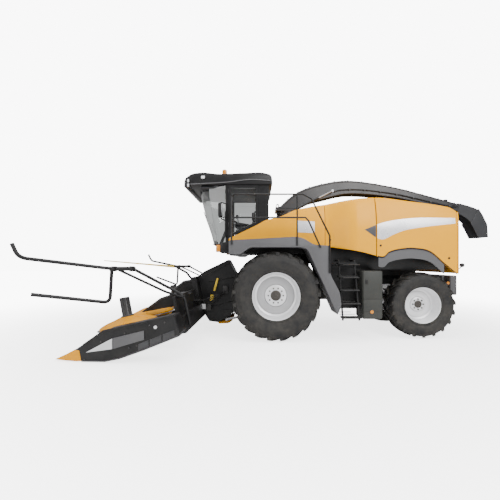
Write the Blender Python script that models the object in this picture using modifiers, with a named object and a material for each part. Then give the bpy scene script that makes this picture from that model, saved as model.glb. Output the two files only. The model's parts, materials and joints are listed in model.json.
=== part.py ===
"""Self-propelled forage harvester with a four-rotor row-crop header.

Metres, +Z up, +X forward, +Y to the machine's left.  Every place is measured from the
point on the ground under the middle of the front axle; the datum empty then carries the
whole machine so that the origin is the middle of its footprint.
"""
import math

import bmesh
import bpy
from mathutils import Matrix, Vector

# Clearances
FIT = 0.0003
SEAM = 0.008
RUN = 0.006
LIFT_GAP = 0.008
PIN_GAP = 0.009

# Overall reach of the machine from the front axle line
FRONT_REACH = 4.31
REAR_REACH = 5.365

# Wheels
ROUND = 24
WHEELBASE = 3.20
FRONT_TYRE_R = 0.95
FRONT_TYRE_W = 0.70
FRONT_WHEEL_Y = 1.28
FRONT_RIM_R = 0.505
REAR_TYRE_R = 0.725
REAR_TYRE_W = 0.56
REAR_WHEEL_Y = 1.02
REAR_RIM_R = 0.395
KINGPIN_Y = 0.72
FRONT_DISC = -0.02
REAR_DISC = -0.10
FRONT_HUB_R = 0.11
REAR_HUB_R = 0.10
HUB_GAP = 0.006
AXLE_Z = REAR_TYRE_R
FORK_REACH = 0.79
KNUCKLE_R = 0.07
KNUCKLE_HALF = 0.17

# Frame
RAIL_IN = 0.20
RAIL_OUT = 0.29
RAIL_LOW = 1.13
RAIL_TOP = 1.35
RAIL_FRONT = 0.14
RAIL_REAR = -4.15
AXLE_R = 0.13

# Cab
CAB_HALF = 0.93
CAB_REAR = 0.15
CAB_FLOOR = 2.00
CAB_FLOOR_T = 0.08
CAB_EAVE = 3.42
ROOF_TOP = 3.71
A_POST_X = 1.08
B_POST_X = 0.38
POST = 0.07
GLASS = 0.008
DOOR_HINGE = (A_POST_X - POST / 2.0, CAB_HALF + 0.035)
DOOR_Y = (CAB_HALF + 0.005, CAB_HALF + 0.035)

# Bodywork
SKIN = 0.03
FRONT_SEAM_X = -1.11
REAR_SEAM_X = -2.15
BODY_FRONT_X = 0.12
BODY_REAR_X = -3.88
BODY_HALF_FRONT = 1.08
BODY_HALF_REAR = 1.36
FENDER_OUT = 1.65
SERVICE_HINGE_Z = 2.4
GULL_HINGE_Y = 1.333
GULL_HINGE_Z = 2.98
RAIL_TUBE = 0.018
RAIL_Y = FENDER_OUT + RAIL_TUBE + FIT
LADDER_X = (-1.71, -1.37)
SKIRT_Y = (0.91, 0.94)
LOCKER_X = (-2.25, -1.83)
LOCKER_Z = (0.46, 1.48)
LOCKER_OUT = 1.45

# Spout
TURRET_X = -0.35
TURRET_R = 0.26
SPOUT_SKIN = 0.010
TURRET_PLATE = (2.94, 2.99)
EAR_Y = (0.212, 0.242)
SPOUT_PIN = (-0.10, 3.06)
SPOUT_HALF = (0.20, 0.16)
JACK_Y = 0.31
JACK_FOOT = (-0.56, 2.965)
JACK_HEAD = (-1.45, 3.42)
JACK_R = 0.03
FLAP_PIN = (-4.64, 3.10)
END_FLAP_PIN = (-5.11, 2.97)
FLAP_HALF = 0.176
END_FLAP_HALF = 0.192

# Feeder and header
LIFT_PIVOT = (0.80, 1.00)
FEEDER_HALF = 0.42
HOUSING_HALF = 0.34
PIN_R = 0.03
FENDER_IN = 1.10
LIFT_Y = 0.60
HEADER_LEAN = math.radians(10.4)
HEADER_X = 2.93
HEADER_Z = 0.42
ROTOR_R = 0.60
ROTOR_PITCH = 1.24
BEAM_HALF = 2.52
DIVIDER_IN = 2.55
DIVIDER_OUT = 3.02
LIFT_FOOT = (0.20, 0.51)
LIFT_HEAD = (1.12, 0.31)
BEAM_X = (-1.25, -1.05)
BEAM_Z = (-0.25, 0.05)
DISC_T = 0.03
DOME_R = 0.54

SIDES = (("left", 1.0), ("right", -1.0))

YELLOW = ((0.92, 0.45, 0.04, 1.0), 0.35, 0.0)
GREY = ((0.25, 0.25, 0.27, 1.0), 0.5, 0.0)
DARK = ((0.05, 0.05, 0.055, 1.0), 0.55, 0.0)
STEEL = ((0.35, 0.35, 0.36, 1.0), 0.4, 0.8)
SPOUT_GREY = ((0.09, 0.09, 0.10, 1.0), 0.5, 0.0)
BOX_GREY = ((0.12, 0.125, 0.11, 1.0), 0.5, 0.0)
SILVER = ((0.62, 0.62, 0.63, 1.0), 0.35, 0.3)
RUBBER = ((0.035, 0.035, 0.035, 1.0), 0.85, 0.0)
GLAZING = ((0.25, 0.30, 0.30, 1.0), 0.05, 0.0)
CLOTH = ((0.06, 0.06, 0.065, 1.0), 0.9, 0.0)

for item in list(bpy.data.objects):
    bpy.data.objects.remove(item, do_unlink=True)

PARTS = bpy.data.collections.new("forage_harvester")
JOINERS = bpy.data.collections.new("joined_and_cut_shapes")
for group in (PARTS, JOINERS):
    bpy.context.scene.collection.children.link(group)


def empty(name, location, parent=None, lean=0.0):
    """A named frame of reference, leaned about Y."""
    frame = bpy.data.objects.new(name, None)
    frame.location = location
    frame.rotation_euler = (0.0, lean, 0.0)
    frame.parent = parent
    PARTS.objects.link(frame)
    return frame


DATUM = empty("datum", ((REAR_REACH - FRONT_REACH) / 2.0, 0.0, 0.0))
HEADER = empty("header_datum", (HEADER_X, 0.0, HEADER_Z), DATUM, HEADER_LEAN)


def adopt(name, mesh, parent):
    """Wrap a mesh in an object under its parent."""
    obj = bpy.data.objects.new(name, mesh)
    obj.parent = parent or DATUM
    PARTS.objects.link(obj)
    return obj


def from_bmesh(name, bm, parent):
    """Turn a finished bmesh into an object."""
    mesh = bpy.data.meshes.new(name)
    bm.to_mesh(mesh)
    bm.free()
    return adopt(name, mesh, parent)


def block(name, x, y, z, parent=None):
    """Box between two limits on each axis."""
    bm = bmesh.new()
    bmesh.ops.create_cube(bm, size=1.0)
    bmesh.ops.scale(bm, vec=[abs(b - a) for a, b in (x, y, z)], verts=bm.verts)
    bmesh.ops.translate(bm, vec=[(a + b) / 2.0 for a, b in (x, y, z)], verts=bm.verts)
    return from_bmesh(name, bm, parent)


def rod(name, start, end, radius, parent=None, sides=12, end_radius=None):
    """Straight round bar from one point to another, tapered if asked."""
    start = Vector(start)
    end = Vector(end)
    run = end - start
    bm = bmesh.new()
    bmesh.ops.create_cone(
        bm, cap_ends=True, segments=sides, radius1=radius,
        radius2=radius if end_radius is None else end_radius, depth=run.length,
    )
    turn = run.to_track_quat("Z", "Y").to_matrix().to_4x4()
    middle = Matrix.Translation((start + end) / 2.0)
    bmesh.ops.transform(bm, matrix=middle @ turn, verts=bm.verts)
    return from_bmesh(name, bm, parent)


def solid_curve(name, curve, basis, parent):
    """Make a curve's closed solid into a welded mesh object."""
    guide = bpy.data.objects.new(name + "_guide", curve)
    JOINERS.objects.link(guide)
    shape = guide.evaluated_get(bpy.context.evaluated_depsgraph_get())
    mesh = bpy.data.meshes.new_from_object(shape)
    bpy.data.objects.remove(guide, do_unlink=True)
    bm = bmesh.new()
    bm.from_mesh(mesh)
    bmesh.ops.transform(bm, matrix=basis, verts=bm.verts)
    bmesh.ops.remove_doubles(bm, verts=bm.verts, dist=0.00001)
    bmesh.ops.recalc_face_normals(bm, faces=bm.faces)
    bpy.data.meshes.remove(mesh)
    return from_bmesh(name, bm, parent)


def plate(name, outline, y, parent=None):
    """Flat outline in X and Z, between two limits in Y."""
    curve = bpy.data.curves.new(name, "CURVE")
    curve.dimensions = "2D"
    curve.fill_mode = "BOTH"
    curve.extrude = abs(y[1] - y[0]) / 2.0
    spline = curve.splines.new("POLY")
    spline.points.add(len(outline) - 1)
    for point, (x, z) in zip(spline.points, outline):
        point.co = (x, z, 0.0, 1.0)
    spline.use_cyclic_u = True
    middle = Matrix.Translation((0.0, (y[0] + y[1]) / 2.0, 0.0))
    upright = Matrix.Rotation(math.pi / 2, 4, "X")
    return solid_curve(name, curve, middle @ upright, parent)


def tube(name, points, radius, parent=None):
    """Bent round tube through the given points."""
    curve = bpy.data.curves.new(name, "CURVE")
    curve.dimensions = "3D"
    curve.bevel_depth = radius
    curve.bevel_resolution = 2
    curve.use_fill_caps = True
    spline = curve.splines.new("POLY")
    spline.points.add(len(points) - 1)
    for point, place in zip(spline.points, points):
        point.co = (*place, 1.0)
    return solid_curve(name, curve, Matrix.Identity(4), parent)


def turned(name, profile, steps, parent=None, closed=True):
    """Profile of (radius, height) turned about local Z, with a flat facing -X."""
    half_step = math.pi / steps
    bm = bmesh.new()
    verts = [
        bm.verts.new((r * math.cos(half_step), r * math.sin(half_step), h)) for r, h in profile
    ]
    for first, second in zip(verts, verts[1:]):
        bm.edges.new((first, second))
    if closed:
        bm.edges.new((verts[-1], verts[0]))
    obj = from_bmesh(name, bm, parent)
    screw = obj.modifiers.new("turn", "SCREW")
    screw.steps = steps
    screw.render_steps = steps
    screw.use_merge_vertices = True
    screw.merge_threshold = 0.0001
    screw.use_smooth_shade = False
    return obj


def skin(name, cells_u, cells_v, point, outward, thickness, parent=None):
    """Curved sheet through point(u, v), thickened away from its outer face."""
    bm = bmesh.new()
    bmesh.ops.create_grid(bm, x_segments=cells_u, y_segments=cells_v, size=0.5)
    for vert in bm.verts:
        vert.co = point(vert.co.x + 0.5, vert.co.y + 0.5)
    bm.normal_update()
    facing = sum((face.normal for face in bm.faces), Vector())
    if facing.dot(Vector(outward)) < 0.0:
        bmesh.ops.reverse_faces(bm, faces=bm.faces)
    obj = from_bmesh(name, bm, parent)
    wall = obj.modifiers.new("wall", "SOLIDIFY")
    wall.thickness = thickness
    wall.offset = -1.0
    wall.use_even_offset = True
    wall.use_quality_normals = True
    return obj


def combine(base, shapes, operation, solver="EXACT"):
    """Join shapes to a base, or cut them from it, and put them away as guides."""
    for index, shape in enumerate(shapes):
        PARTS.objects.unlink(shape)
        JOINERS.objects.link(shape)
        shape.hide_render = True
        shape.display_type = "WIRE"
        step = base.modifiers.new(f"{operation.lower()}_{index}", "BOOLEAN")
        step.operation = operation
        step.solver = solver
        step.object = shape
    return base


def join(base, *shapes, solver="EXACT"):
    """One body from a base and the shapes that overlap it."""
    return combine(base, shapes, "UNION", solver)


def cut(base, *shapes):
    """A base with the shapes taken out of it."""
    return combine(base, shapes, "DIFFERENCE")


def pivot_at(obj, place):
    """Move an object's origin to a place on its joint's axis."""
    obj.data.transform(Matrix.Translation(-Vector(place)))
    obj.location = place
    return obj


def paint(obj, finish):
    """Give a finished piece its own material."""
    colour, roughness, metallic = finish
    material = bpy.data.materials.new(obj.name)
    material.use_nodes = True
    shader = material.node_tree.nodes["Principled BSDF"]
    shader.inputs["Base Color"].default_value = colour
    shader.inputs["Roughness"].default_value = roughness
    shader.inputs["Metallic"].default_value = metallic
    obj.data.materials.append(material)
    return obj


def follow(points):
    """Height along X through the given points, as a smooth curve."""
    points = sorted(points)
    slopes = []
    for index in range(len(points)):
        before = points[max(index - 1, 0)]
        after = points[min(index + 1, len(points) - 1)]
        slopes.append((after[1] - before[1]) / (after[0] - before[0]))

    def height(x):
        x = min(max(x, points[0][0]), points[-1][0])
        index = 0
        while index < len(points) - 2 and x > points[index + 1][0]:
            index += 1
        (x0, z0), (x1, z1) = points[index], points[index + 1]
        span = x1 - x0
        t = (x - x0) / span
        return (
            z0 * (1 + 2 * t) * (1 - t) ** 2 + slopes[index] * span * t * (1 - t) ** 2
            + z1 * t * t * (3 - 2 * t) + slopes[index + 1] * span * t * t * (t - 1)
        )

    return height


def mirrored(y, side):
    """Y limits on one side of the machine, lowest first."""
    return tuple(sorted((y[0] * side, y[1] * side)))


# Wheels, axles and frame

def tyre(name, radius, width, rim_radius, place, side):
    """Agricultural tyre, standing on a flat of its tread."""
    half = width / 2.0
    bead = rim_radius + FIT
    wall = radius - bead
    tread = radius / math.cos(math.pi / ROUND)
    profile = [
        (bead, 0.84 * half), (bead + 0.25 * wall, 0.98 * half), (bead + 0.68 * wall, half),
        (bead + 0.88 * wall, 0.94 * half), (tread, 0.72 * half),
    ]
    profile += [(r, -h) for r, h in reversed(profile)]
    obj = turned(name, profile, ROUND)
    obj.rotation_euler = (-side * math.pi / 2, 0.0, 0.0)
    obj.location = (place[0], side * place[1], radius)
    return paint(obj, RUBBER)


def rim(name, radius, width, hub_radius, disc, place, side, centre_z):
    """Wheel rim and disc in one turned piece."""
    half = width / 2.0
    well = radius - 0.045
    profile = [
        (0.0, disc + 0.10), (hub_radius, disc + 0.10), (hub_radius + 0.02, disc + 0.03),
        (0.55 * radius, disc + 0.03), (well, disc + 0.07), (radius - 0.02, 0.84 * half),
        (radius, 0.84 * half), (radius, -0.84 * half), (radius - 0.02, -0.84 * half), (well, disc),
        (0.55 * radius, disc), (0.0, disc),
    ]
    obj = turned(name, profile, ROUND, closed=False)
    obj.rotation_euler = (-side * math.pi / 2, 0.0, 0.0)
    obj.location = (place[0], side * place[1], centre_z)
    return paint(obj, SILVER)


def wheels():
    """Four wheels, each a tyre and a rim."""
    for label, side in SIDES:
        front = (0.0, FRONT_WHEEL_Y)
        rear = (-WHEELBASE, REAR_WHEEL_Y)
        tyre(f"{label}_front_tyre", FRONT_TYRE_R, FRONT_TYRE_W, FRONT_RIM_R, front, side)
        rim(
            f"{label}_front_rim", FRONT_RIM_R, FRONT_TYRE_W, FRONT_HUB_R, FRONT_DISC, front, side,
            FRONT_TYRE_R,
        )
        tyre(f"{label}_rear_tyre", REAR_TYRE_R, REAR_TYRE_W, REAR_RIM_R, rear, side)
        rim(
            f"{label}_rear_rim", REAR_RIM_R, REAR_TYRE_W, REAR_HUB_R, REAR_DISC, rear, side,
            REAR_TYRE_R,
        )


def front_axle():
    """Drive axle with saddles under the rails and pins for the lift cylinders."""
    reach = FRONT_WHEEL_Y + FRONT_DISC - HUB_GAP
    axle = rod("front_axle", (0, -reach, FRONT_TYRE_R), (0, reach, FRONT_TYRE_R), AXLE_R, sides=20)
    shapes = [rod("axle_gearcase", (0, -0.26, FRONT_TYRE_R), (0, 0.26, FRONT_TYRE_R), AXLE_R + 0.008)]
    for _, side in SIDES:
        rails = mirrored((RAIL_IN, RAIL_OUT), side)
        shapes.append(block("axle_saddle", (-0.10, 0.10), rails, (FRONT_TYRE_R, RAIL_LOW - FIT)))
        outer = mirrored((0.66, 0.86), side)
        shapes.append(
            rod("final_drive", (0, outer[0], FRONT_TYRE_R), (0, outer[1], FRONT_TYRE_R), 0.24)
        )
        horn = mirrored((LIFT_Y - 0.10, LIFT_Y - 0.05), side)
        x, z = LIFT_FOOT
        shapes.append(plate("cylinder_horn", [
            (-0.08, FRONT_TYRE_R - 0.02), (0.05, FRONT_TYRE_R - 0.02), (x + 0.06, z + 0.04),
            (x + 0.06, z - 0.05), (x - 0.06, z - 0.05),
        ], horn))
    join(axle, *shapes)
    bore = rod(
        "lift_foot_bore", (LIFT_FOOT[0], -0.7, LIFT_FOOT[1]), (LIFT_FOOT[0], 0.7, LIFT_FOOT[1]),
        PIN_R + 0.004,
    )
    return paint(cut(axle, bore), GREY)


def rear_axle():
    """Steering axle: a beam hung under the rails, with a fork at each end."""
    x = (-WHEELBASE - 0.09, -WHEELBASE + 0.09)
    beam = block("rear_axle", x, (-0.62, 0.62), (AXLE_Z - 0.08, AXLE_Z + 0.08))
    shapes = [
        block("axle_pedestal", x, (-RAIL_OUT, RAIL_OUT), (AXLE_Z + 0.07, RAIL_LOW - FIT)),
    ]
    plate_z = KNUCKLE_HALF + RUN
    for _, side in SIDES:
        web = mirrored((0.54, 0.63), side)
        fork = mirrored((0.55, FORK_REACH), side)
        shapes.append(block("fork_web", x, web, (AXLE_Z - plate_z - 0.02, AXLE_Z + plate_z + 0.02)))
        for low, high in ((plate_z, plate_z + 0.035), (-plate_z - 0.035, -plate_z)):
            inset = (x[0] + 0.01, x[1] - 0.01)
            shapes.append(block("fork_plate", inset, fork, (AXLE_Z + low, AXLE_Z + high)))
    return paint(join(beam, *shapes), GREY)


def knuckles():
    """Steering knuckles, each turning on its kingpin."""
    for label, side in SIDES:
        pin = (-WHEELBASE, side * KINGPIN_Y, AXLE_Z)
        low = (pin[0], pin[1], AXLE_Z - KNUCKLE_HALF)
        high = (pin[0], pin[1], AXLE_Z + KNUCKLE_HALF)
        obj = rod(f"{label}_knuckle", low, high, KNUCKLE_R, sides=20)
        end = side * (REAR_WHEEL_Y + REAR_DISC - HUB_GAP)
        stub = rod("spindle", pin, (pin[0], end, AXLE_Z), 0.062)
        flange = rod("hub_flange", (pin[0], end - side * 0.03, AXLE_Z), (pin[0], end, AXLE_Z), 0.10)
        paint(pivot_at(join(obj, stub, flange), pin), STEEL)


def main_frame():
    """Ladder frame with the cab's legs and bearers."""
    run = (RAIL_REAR, RAIL_FRONT)
    frame = block("main_frame", run, (RAIL_IN, RAIL_OUT), (RAIL_LOW, RAIL_TOP))
    shapes = [block("right_rail", run, (-RAIL_OUT, -RAIL_IN), (RAIL_LOW, RAIL_TOP))]
    for x in (RAIL_REAR + 0.06, -WHEELBASE, -2.0, -0.95):
        shapes.append(block(
            "cross_member", (x - 0.05, x + 0.05), (-RAIL_OUT + 0.02, RAIL_OUT - 0.02),
            (RAIL_LOW + 0.02, RAIL_TOP - 0.02),
        ))
    bearer_low = CAB_FLOOR - 0.14
    shapes.append(
        block("cab_bearer", (CAB_REAR, 1.0), (-0.85, 0.85), (bearer_low, CAB_FLOOR - FIT))
    )
    for _, side in SIDES:
        beam = mirrored((0.70, 0.80), side)
        shapes.append(block(
            "platform_beam", (-1.05, CAB_REAR + 0.05), beam, (bearer_low, CAB_FLOOR - 0.02)
        ))
        leg = mirrored((RAIL_OUT - 0.01, 0.42), side)
        shapes.append(block("cab_leg", (-0.12, 0.08), leg, (RAIL_LOW + 0.03, bearer_low + 0.06)))
        arm = mirrored((0.38, 0.80), side)
        shapes.append(block("cab_arm", (-0.11, 0.07), arm, (bearer_low - 0.06, bearer_low + 0.05)))
        foot = mirrored((RAIL_OUT - 0.01, 0.90), side)
        shapes.append(block(
            "box_bearer", (-2.10, -2.02), foot, (RAIL_LOW + 0.05, RAIL_LOW + 0.15)
        ))
    return paint(join(frame, *shapes), DARK)


def engine_block():
    """The engine as one plain mass on the rails."""
    low = RAIL_TOP + FIT
    return paint(block("engine_block", (-3.45, -2.25), (-0.40, 0.40), (low, low + 0.92)), GREY)


def cutterhead_housing():
    """Chopping drum housing ahead of the axle, its lugs, and the duct up to the spout."""
    back = RAIL_FRONT + FIT
    housing = plate("cutterhead_housing", [
        (back, 1.10), (back, 1.66), (0.50, 1.70), (0.60, 1.45), (0.62, 0.72), (0.46, 0.62), (0.28, 0.66),
    ], (-HOUSING_HALF, HOUSING_HALF))
    base = RAIL_TOP + 0.01
    duct = plate("discharge_duct", [
        (back + 0.04, base), (back + 0.04, 1.64), (TURRET_X + 0.24, 2.36), (TURRET_X + 0.24, 2.47),
        (TURRET_X - 0.24, 2.47), (TURRET_X - 0.24, 2.36), (TURRET_X + 0.02, base),
    ], (-0.24, 0.24))
    shapes = [duct]
    for _, side in SIDES:
        lug_y = mirrored((HOUSING_HALF - 0.01, HOUSING_HALF + 0.04), side)
        x, z = LIFT_PIVOT
        lug = plate("pivot_lug", [
            (0.50, z + 0.20), (x, z + 0.085), (x + 0.075, z + 0.04), (x + 0.075, z - 0.04),
            (x, z - 0.085), (0.50, z - 0.20),
        ], lug_y)
        shapes.append(lug)
    join(housing, *shapes)
    bore = rod(
        "pivot_bore", (LIFT_PIVOT[0], -0.6, LIFT_PIVOT[1]), (LIFT_PIVOT[0], 0.6, LIFT_PIVOT[1]),
        PIN_R + 0.004, sides=20,
    )
    return paint(cut(housing, bore), DARK)


# Cab

def screen_x(z):
    """How far forward the windscreen's middle stands at a height."""
    return follow([(2.09, 1.47), (2.35, 1.54), (2.85, 1.70), (3.40, 1.83)])(z)


def cab_frame():
    """Floor, posts and eaves of the cab."""
    top = CAB_EAVE - FIT
    floor_top = CAB_FLOOR + CAB_FLOOR_T
    frame = plate("cab_frame", [
        (CAB_REAR - 0.02, CAB_FLOOR), (1.30, CAB_FLOOR), (1.42, floor_top),
        (CAB_REAR - 0.02, floor_top),
    ], (-CAB_HALF, CAB_HALF))
    shapes = []
    for _, side in SIDES:
        posts = mirrored((CAB_HALF - POST, CAB_HALF - 0.003), side)
        for x, width in ((A_POST_X, POST), (B_POST_X, POST), (CAB_REAR + 0.027, 0.08)):
            shapes.append(block(
                "post", (x - width / 2.0, x + width / 2.0), posts, (floor_top - 0.02, top - 0.01)
            ))
        inner = mirrored((CAB_HALF - POST - 0.004, CAB_HALF - 0.001), side)
        shapes.append(block(
            "eave", (CAB_REAR - 0.018, A_POST_X + 0.03), inner, (top - 0.07, top)
        ))
        quarter = mirrored((CAB_HALF - 0.04, CAB_HALF - 0.008), side)
        shapes.append(block(
            "quarter_panel", (CAB_REAR + 0.01, B_POST_X), quarter, (floor_top - 0.012, top - 0.06)
        ))
        tread = mirrored((CAB_HALF - 0.02, FENDER_IN - RUN), side)
        shapes.append(block(
            "door_step", (CAB_REAR, 1.0), tread, (CAB_FLOOR + 0.01, CAB_FLOOR + 0.05)
        ))
    shapes.append(block(
        "rear_eave", (CAB_REAR - 0.008, CAB_REAR + 0.054), (-0.90, 0.90), (top - 0.066, top - 0.004)
    ))
    shapes.append(block(
        "rear_wall", (CAB_REAR - 0.005, CAB_REAR + 0.03), (-0.895, 0.895), (floor_top - 0.014, 2.72)
    ))
    return paint(join(frame, *shapes), DARK)


def cab_roof():
    """Roof with the lamp visor ahead of the windscreen and a beacon stalk."""
    roof = plate("cab_roof", [
        (0.05, CAB_EAVE), (1.94, CAB_EAVE), (1.96, 3.35), (2.05, 3.36), (2.04, 3.56), (1.90, 3.64),
        (1.20, ROOF_TOP), (0.35, ROOF_TOP), (0.09, 3.62),
    ], (-0.97, 0.97))
    edge = roof.modifiers.new("soft_edges", "BEVEL")
    edge.width = 0.03
    edge.segments = 1
    edge.angle_limit = math.radians(50)
    beacon = rod("beacon_base", (1.15, 0.80, ROOF_TOP - 0.03), (1.15, 0.80, 3.80), 0.055)
    return paint(join(roof, beacon), DARK)


def glass():
    """Windscreen, side and rear panes, and the pane in the door."""
    low = CAB_FLOOR + CAB_FLOOR_T + RUN
    high = CAB_EAVE - RUN
    edge_x = A_POST_X + POST / 2.0 + 0.004

    def front(u, v):
        z = low + (high - low) * v
        across = 2.0 * u - 1.0
        bow = math.sqrt(max(0.0, 1.0 - abs(across) ** 2.6))
        return Vector((edge_x + (screen_x(z) - edge_x) * bow, across * (CAB_HALF - 0.01), z))

    paint(skin("windscreen", 14, 4, front, (1, 0, 0), GLASS), GLAZING)
    gap = 0.004
    y = (-CAB_HALF + 0.020, -CAB_HALF + 0.012)
    x = (B_POST_X + POST / 2.0 + gap, A_POST_X - POST / 2.0 - gap)
    paint(block("right_window", x, y, (low, CAB_EAVE - 0.08)), GLAZING)
    x = (CAB_REAR + 0.005, CAB_REAR + 0.013)
    width = CAB_HALF - POST - gap
    paint(block("rear_window", x, (-width, width), (2.724, CAB_EAVE - 0.075)), GLAZING)


def wedge(x):
    """Top edge of the panel that rises past the cab's side."""
    return follow([
        (1.03, 2.19), (0.41, 2.49), (0.23, 2.59), (-0.16, 2.70), (-0.48, 2.84), (-1.11, 2.96),
        (-1.44, 3.01), (-2.20, 3.07), (-2.85, 2.99), (-3.72, 2.85), (-3.90, 2.74),
    ])(x)


def cab_door():
    """Glazed door, its lower edge rising with the panel below it."""
    front = DOOR_HINGE[0]
    back = B_POST_X
    top = CAB_EAVE - 0.02
    door = plate("cab_door", [
        (front, wedge(front) + 0.02), (front, top), (back, top), (back, wedge(back) + 0.02),
    ], DOOR_Y)
    frame = 0.055
    opening = plate("door_opening", [
        (front - frame, wedge(front) + 0.02 + 1.6 * frame), (front - frame, top - frame),
        (back + frame, top - frame), (back + frame, wedge(back) + 0.02 + 0.9 * frame),
    ], (DOOR_Y[0] - 0.02, DOOR_Y[1] + 0.02))
    cut(door, opening)
    place = (DOOR_HINGE[0], DOOR_HINGE[1], 2.8)
    paint(pivot_at(door, place), DARK)
    inset = 0.002
    pane = plate("door_glass", [
        (front - frame - inset, wedge(front) + 0.023 + 1.6 * frame),
        (front - frame - inset, top - frame - inset), (back + frame + inset, top - frame - inset),
        (back + frame + inset, wedge(back) + 0.023 + 0.9 * frame),
    ], (DOOR_Y[0] + 0.008, DOOR_Y[0] + 0.008 + GLASS))
    paint(pivot_at(pane, place), GLAZING)


def driver_seat():
    """Seat base, cushion and back as one soft solid."""
    base = CAB_FLOOR + CAB_FLOOR_T + FIT
    seat = plate("driver_seat", [
        (0.42, base), (0.86, base), (0.84, base + 0.34), (0.98, base + 0.40), (0.98, base + 0.52),
        (0.60, base + 0.50), (0.46, base + 1.12), (0.34, base + 1.12), (0.42, base + 0.42),
    ], (-0.25, 0.25))
    return paint(seat, CLOTH)


# Bodywork

def body_half(x, z):
    """Half width of the bodywork, flared towards the rear and tucked in at the top."""
    t = min(max((FRONT_SEAM_X - x) / 0.66, 0.0), 1.0)
    flare = t * t * (3.0 - 2.0 * t)
    tuck = 0.12 * (max(0.0, z - 2.35) / 0.7) ** 2
    return BODY_HALF_FRONT + (BODY_HALF_REAR - BODY_HALF_FRONT) * flare - tuck


def side_panel(name, side, x_limits, low, columns, rows):
    """Body panel between two upright seams, from its lower edge to the body's top line."""
    def place(u, v):
        x = x_limits[0] + (x_limits[1] - x_limits[0]) * u
        z = low(x) + (wedge(x) - low(x)) * v
        return Vector((x, side * body_half(x, z), z))

    return skin(name, columns, rows, place, (0, side, 0), SKIN)


def arch_edge(x):
    """Lower edge of the rear side panel over the rear wheel."""
    return follow([
        (-2.10, 1.80), (-2.31, 1.77), (-2.42, 1.87), (-2.70, 1.94), (-2.98, 1.95), (-3.30, 1.88),
        (-3.61, 1.62), (-3.88, 1.40),
    ])(x)


def door_edge(x):
    """Lower edge of the service door ahead of the rear wheel."""
    return follow([(-1.10, 2.02), (-1.85, 1.88), (REAR_SEAM_X, 1.80)])(x)


def panels():
    """Fixed front panels, upright-hinged service doors and top-hinged engine doors."""
    half_seam = SEAM / 2.0
    for label, side in SIDES:
        front = side_panel(
            f"{label}_front_panel", side, (A_POST_X - 0.05, FRONT_SEAM_X + half_seam),
            follow([(1.03, 2.12), (FRONT_SEAM_X, 2.03)]), 8, 3,
        )
        paint(front, YELLOW)
        service = side_panel(
            f"{label}_service_door", side, (FRONT_SEAM_X - half_seam, REAR_SEAM_X + half_seam),
            door_edge, 7, 4,
        )
        hinge_y = side * (BODY_HALF_REAR + 0.002)
        paint(pivot_at(service, (REAR_SEAM_X + half_seam, hinge_y, SERVICE_HINGE_Z)), YELLOW)
        engine = side_panel(
            f"{label}_engine_door", side, (REAR_SEAM_X - half_seam - LIFT_GAP, BODY_REAR_X),
            arch_edge, 12, 4,
        )
        hinge = (
            (REAR_SEAM_X + BODY_REAR_X) / 2.0, side * GULL_HINGE_Y, GULL_HINGE_Z
        )
        paint(pivot_at(engine, hinge), YELLOW)


def hood_top():
    """Crowned top cover, open round the turret, with the spout's rest on it."""
    step = 0.01

    def place(u, v):
        x = BODY_FRONT_X + (BODY_REAR_X - BODY_FRONT_X) * u
        flare = (body_half(x - step, 0.0) - body_half(x + step, 0.0)) / (2.0 * step)
        edge = body_half(x, wedge(x)) - 1.4 * SKIN * math.hypot(1.0, flare) - SEAM
        across = 2.0 * v - 1.0
        crown = 0.05 * min(max((-0.6 - x) / 0.8, 0.0), 1.0)
        return Vector((x, across * edge, wedge(x) + crown * (1.0 - across * across)))

    hood = skin("hood_top", 14, 6, place, (0, 0, 1), 0.02)
    hole = rod("turret_hole", (TURRET_X, 0, 2.3), (TURRET_X, 0, 3.2), TURRET_R + 0.05, sides=24)
    rest_x = -2.80
    rest = plate("spout_rest", [
        (rest_x - 0.06, wedge(rest_x) + 0.03), (rest_x + 0.06, wedge(rest_x) + 0.03),
        (rest_x + 0.03, spout_low(rest_x) - 0.012), (rest_x - 0.03, spout_low(rest_x) - 0.012),
    ], (-0.16, 0.16))
    return paint(join(cut(hood, hole), rest), YELLOW)


def rear_panel():
    """Bowed panel that closes the engine bay at the rear."""
    def place(u, v):
        z = 1.42 + (wedge(BODY_REAR_X) - 0.01 - 1.42) * v
        half = body_half(BODY_REAR_X, z) - 0.005
        across = 2.0 * u - 1.0
        return Vector((BODY_REAR_X - SEAM - 0.07 * (1.0 - across * across), across * half, z))

    return paint(skin("rear_panel", 8, 4, place, (-1, 0, 0), -SKIN), YELLOW)


def fenders():
    """Platform and fender over each front wheel, with its leg down behind the wheel."""
    for label, side in SIDES:
        obj = plate(f"{label}_fender", [
            (0.98, 2.11), (-0.535, 2.19), (-0.725, 2.09), (-0.77, 2.02), (-1.10, 2.00), (-1.10, 1.41),
            (-1.30, 1.04), (-1.33, 0.76), (-1.25, 0.58), (-1.15, 0.80), (-0.97, 1.21), (-0.84, 1.48),
            (-0.64, 1.93), (-0.515, 1.97), (0.545, 1.97), (0.75, 1.82), (0.98, 1.83),
        ], mirrored((FENDER_IN, FENDER_OUT), side))
        paint(obj, GREY)


def handrail():
    """Guard rail along the left platform."""
    def at(points):
        return [(x, RAIL_Y, z) for x, z in points]

    upper = tube("left_handrail", at([
        (0.92, 2.02), (0.92, 3.00), (0.87, 3.05), (-0.54, 3.05), (-0.71, 2.96), (-1.085, 2.20),
        (-1.085, 1.44),
    ]), RAIL_TUBE)
    lower = tube("lower_rail", at([
        (0.925, 2.575), (-0.59, 2.575), (-0.65, 2.51), (-0.90, 1.96),
    ]), RAIL_TUBE * 0.95)
    post = tube("rail_post", at([(-0.42, 2.00), (-0.42, 3.05)]), RAIL_TUBE * 0.9)
    return paint(join(upper, lower, post), DARK)


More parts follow.
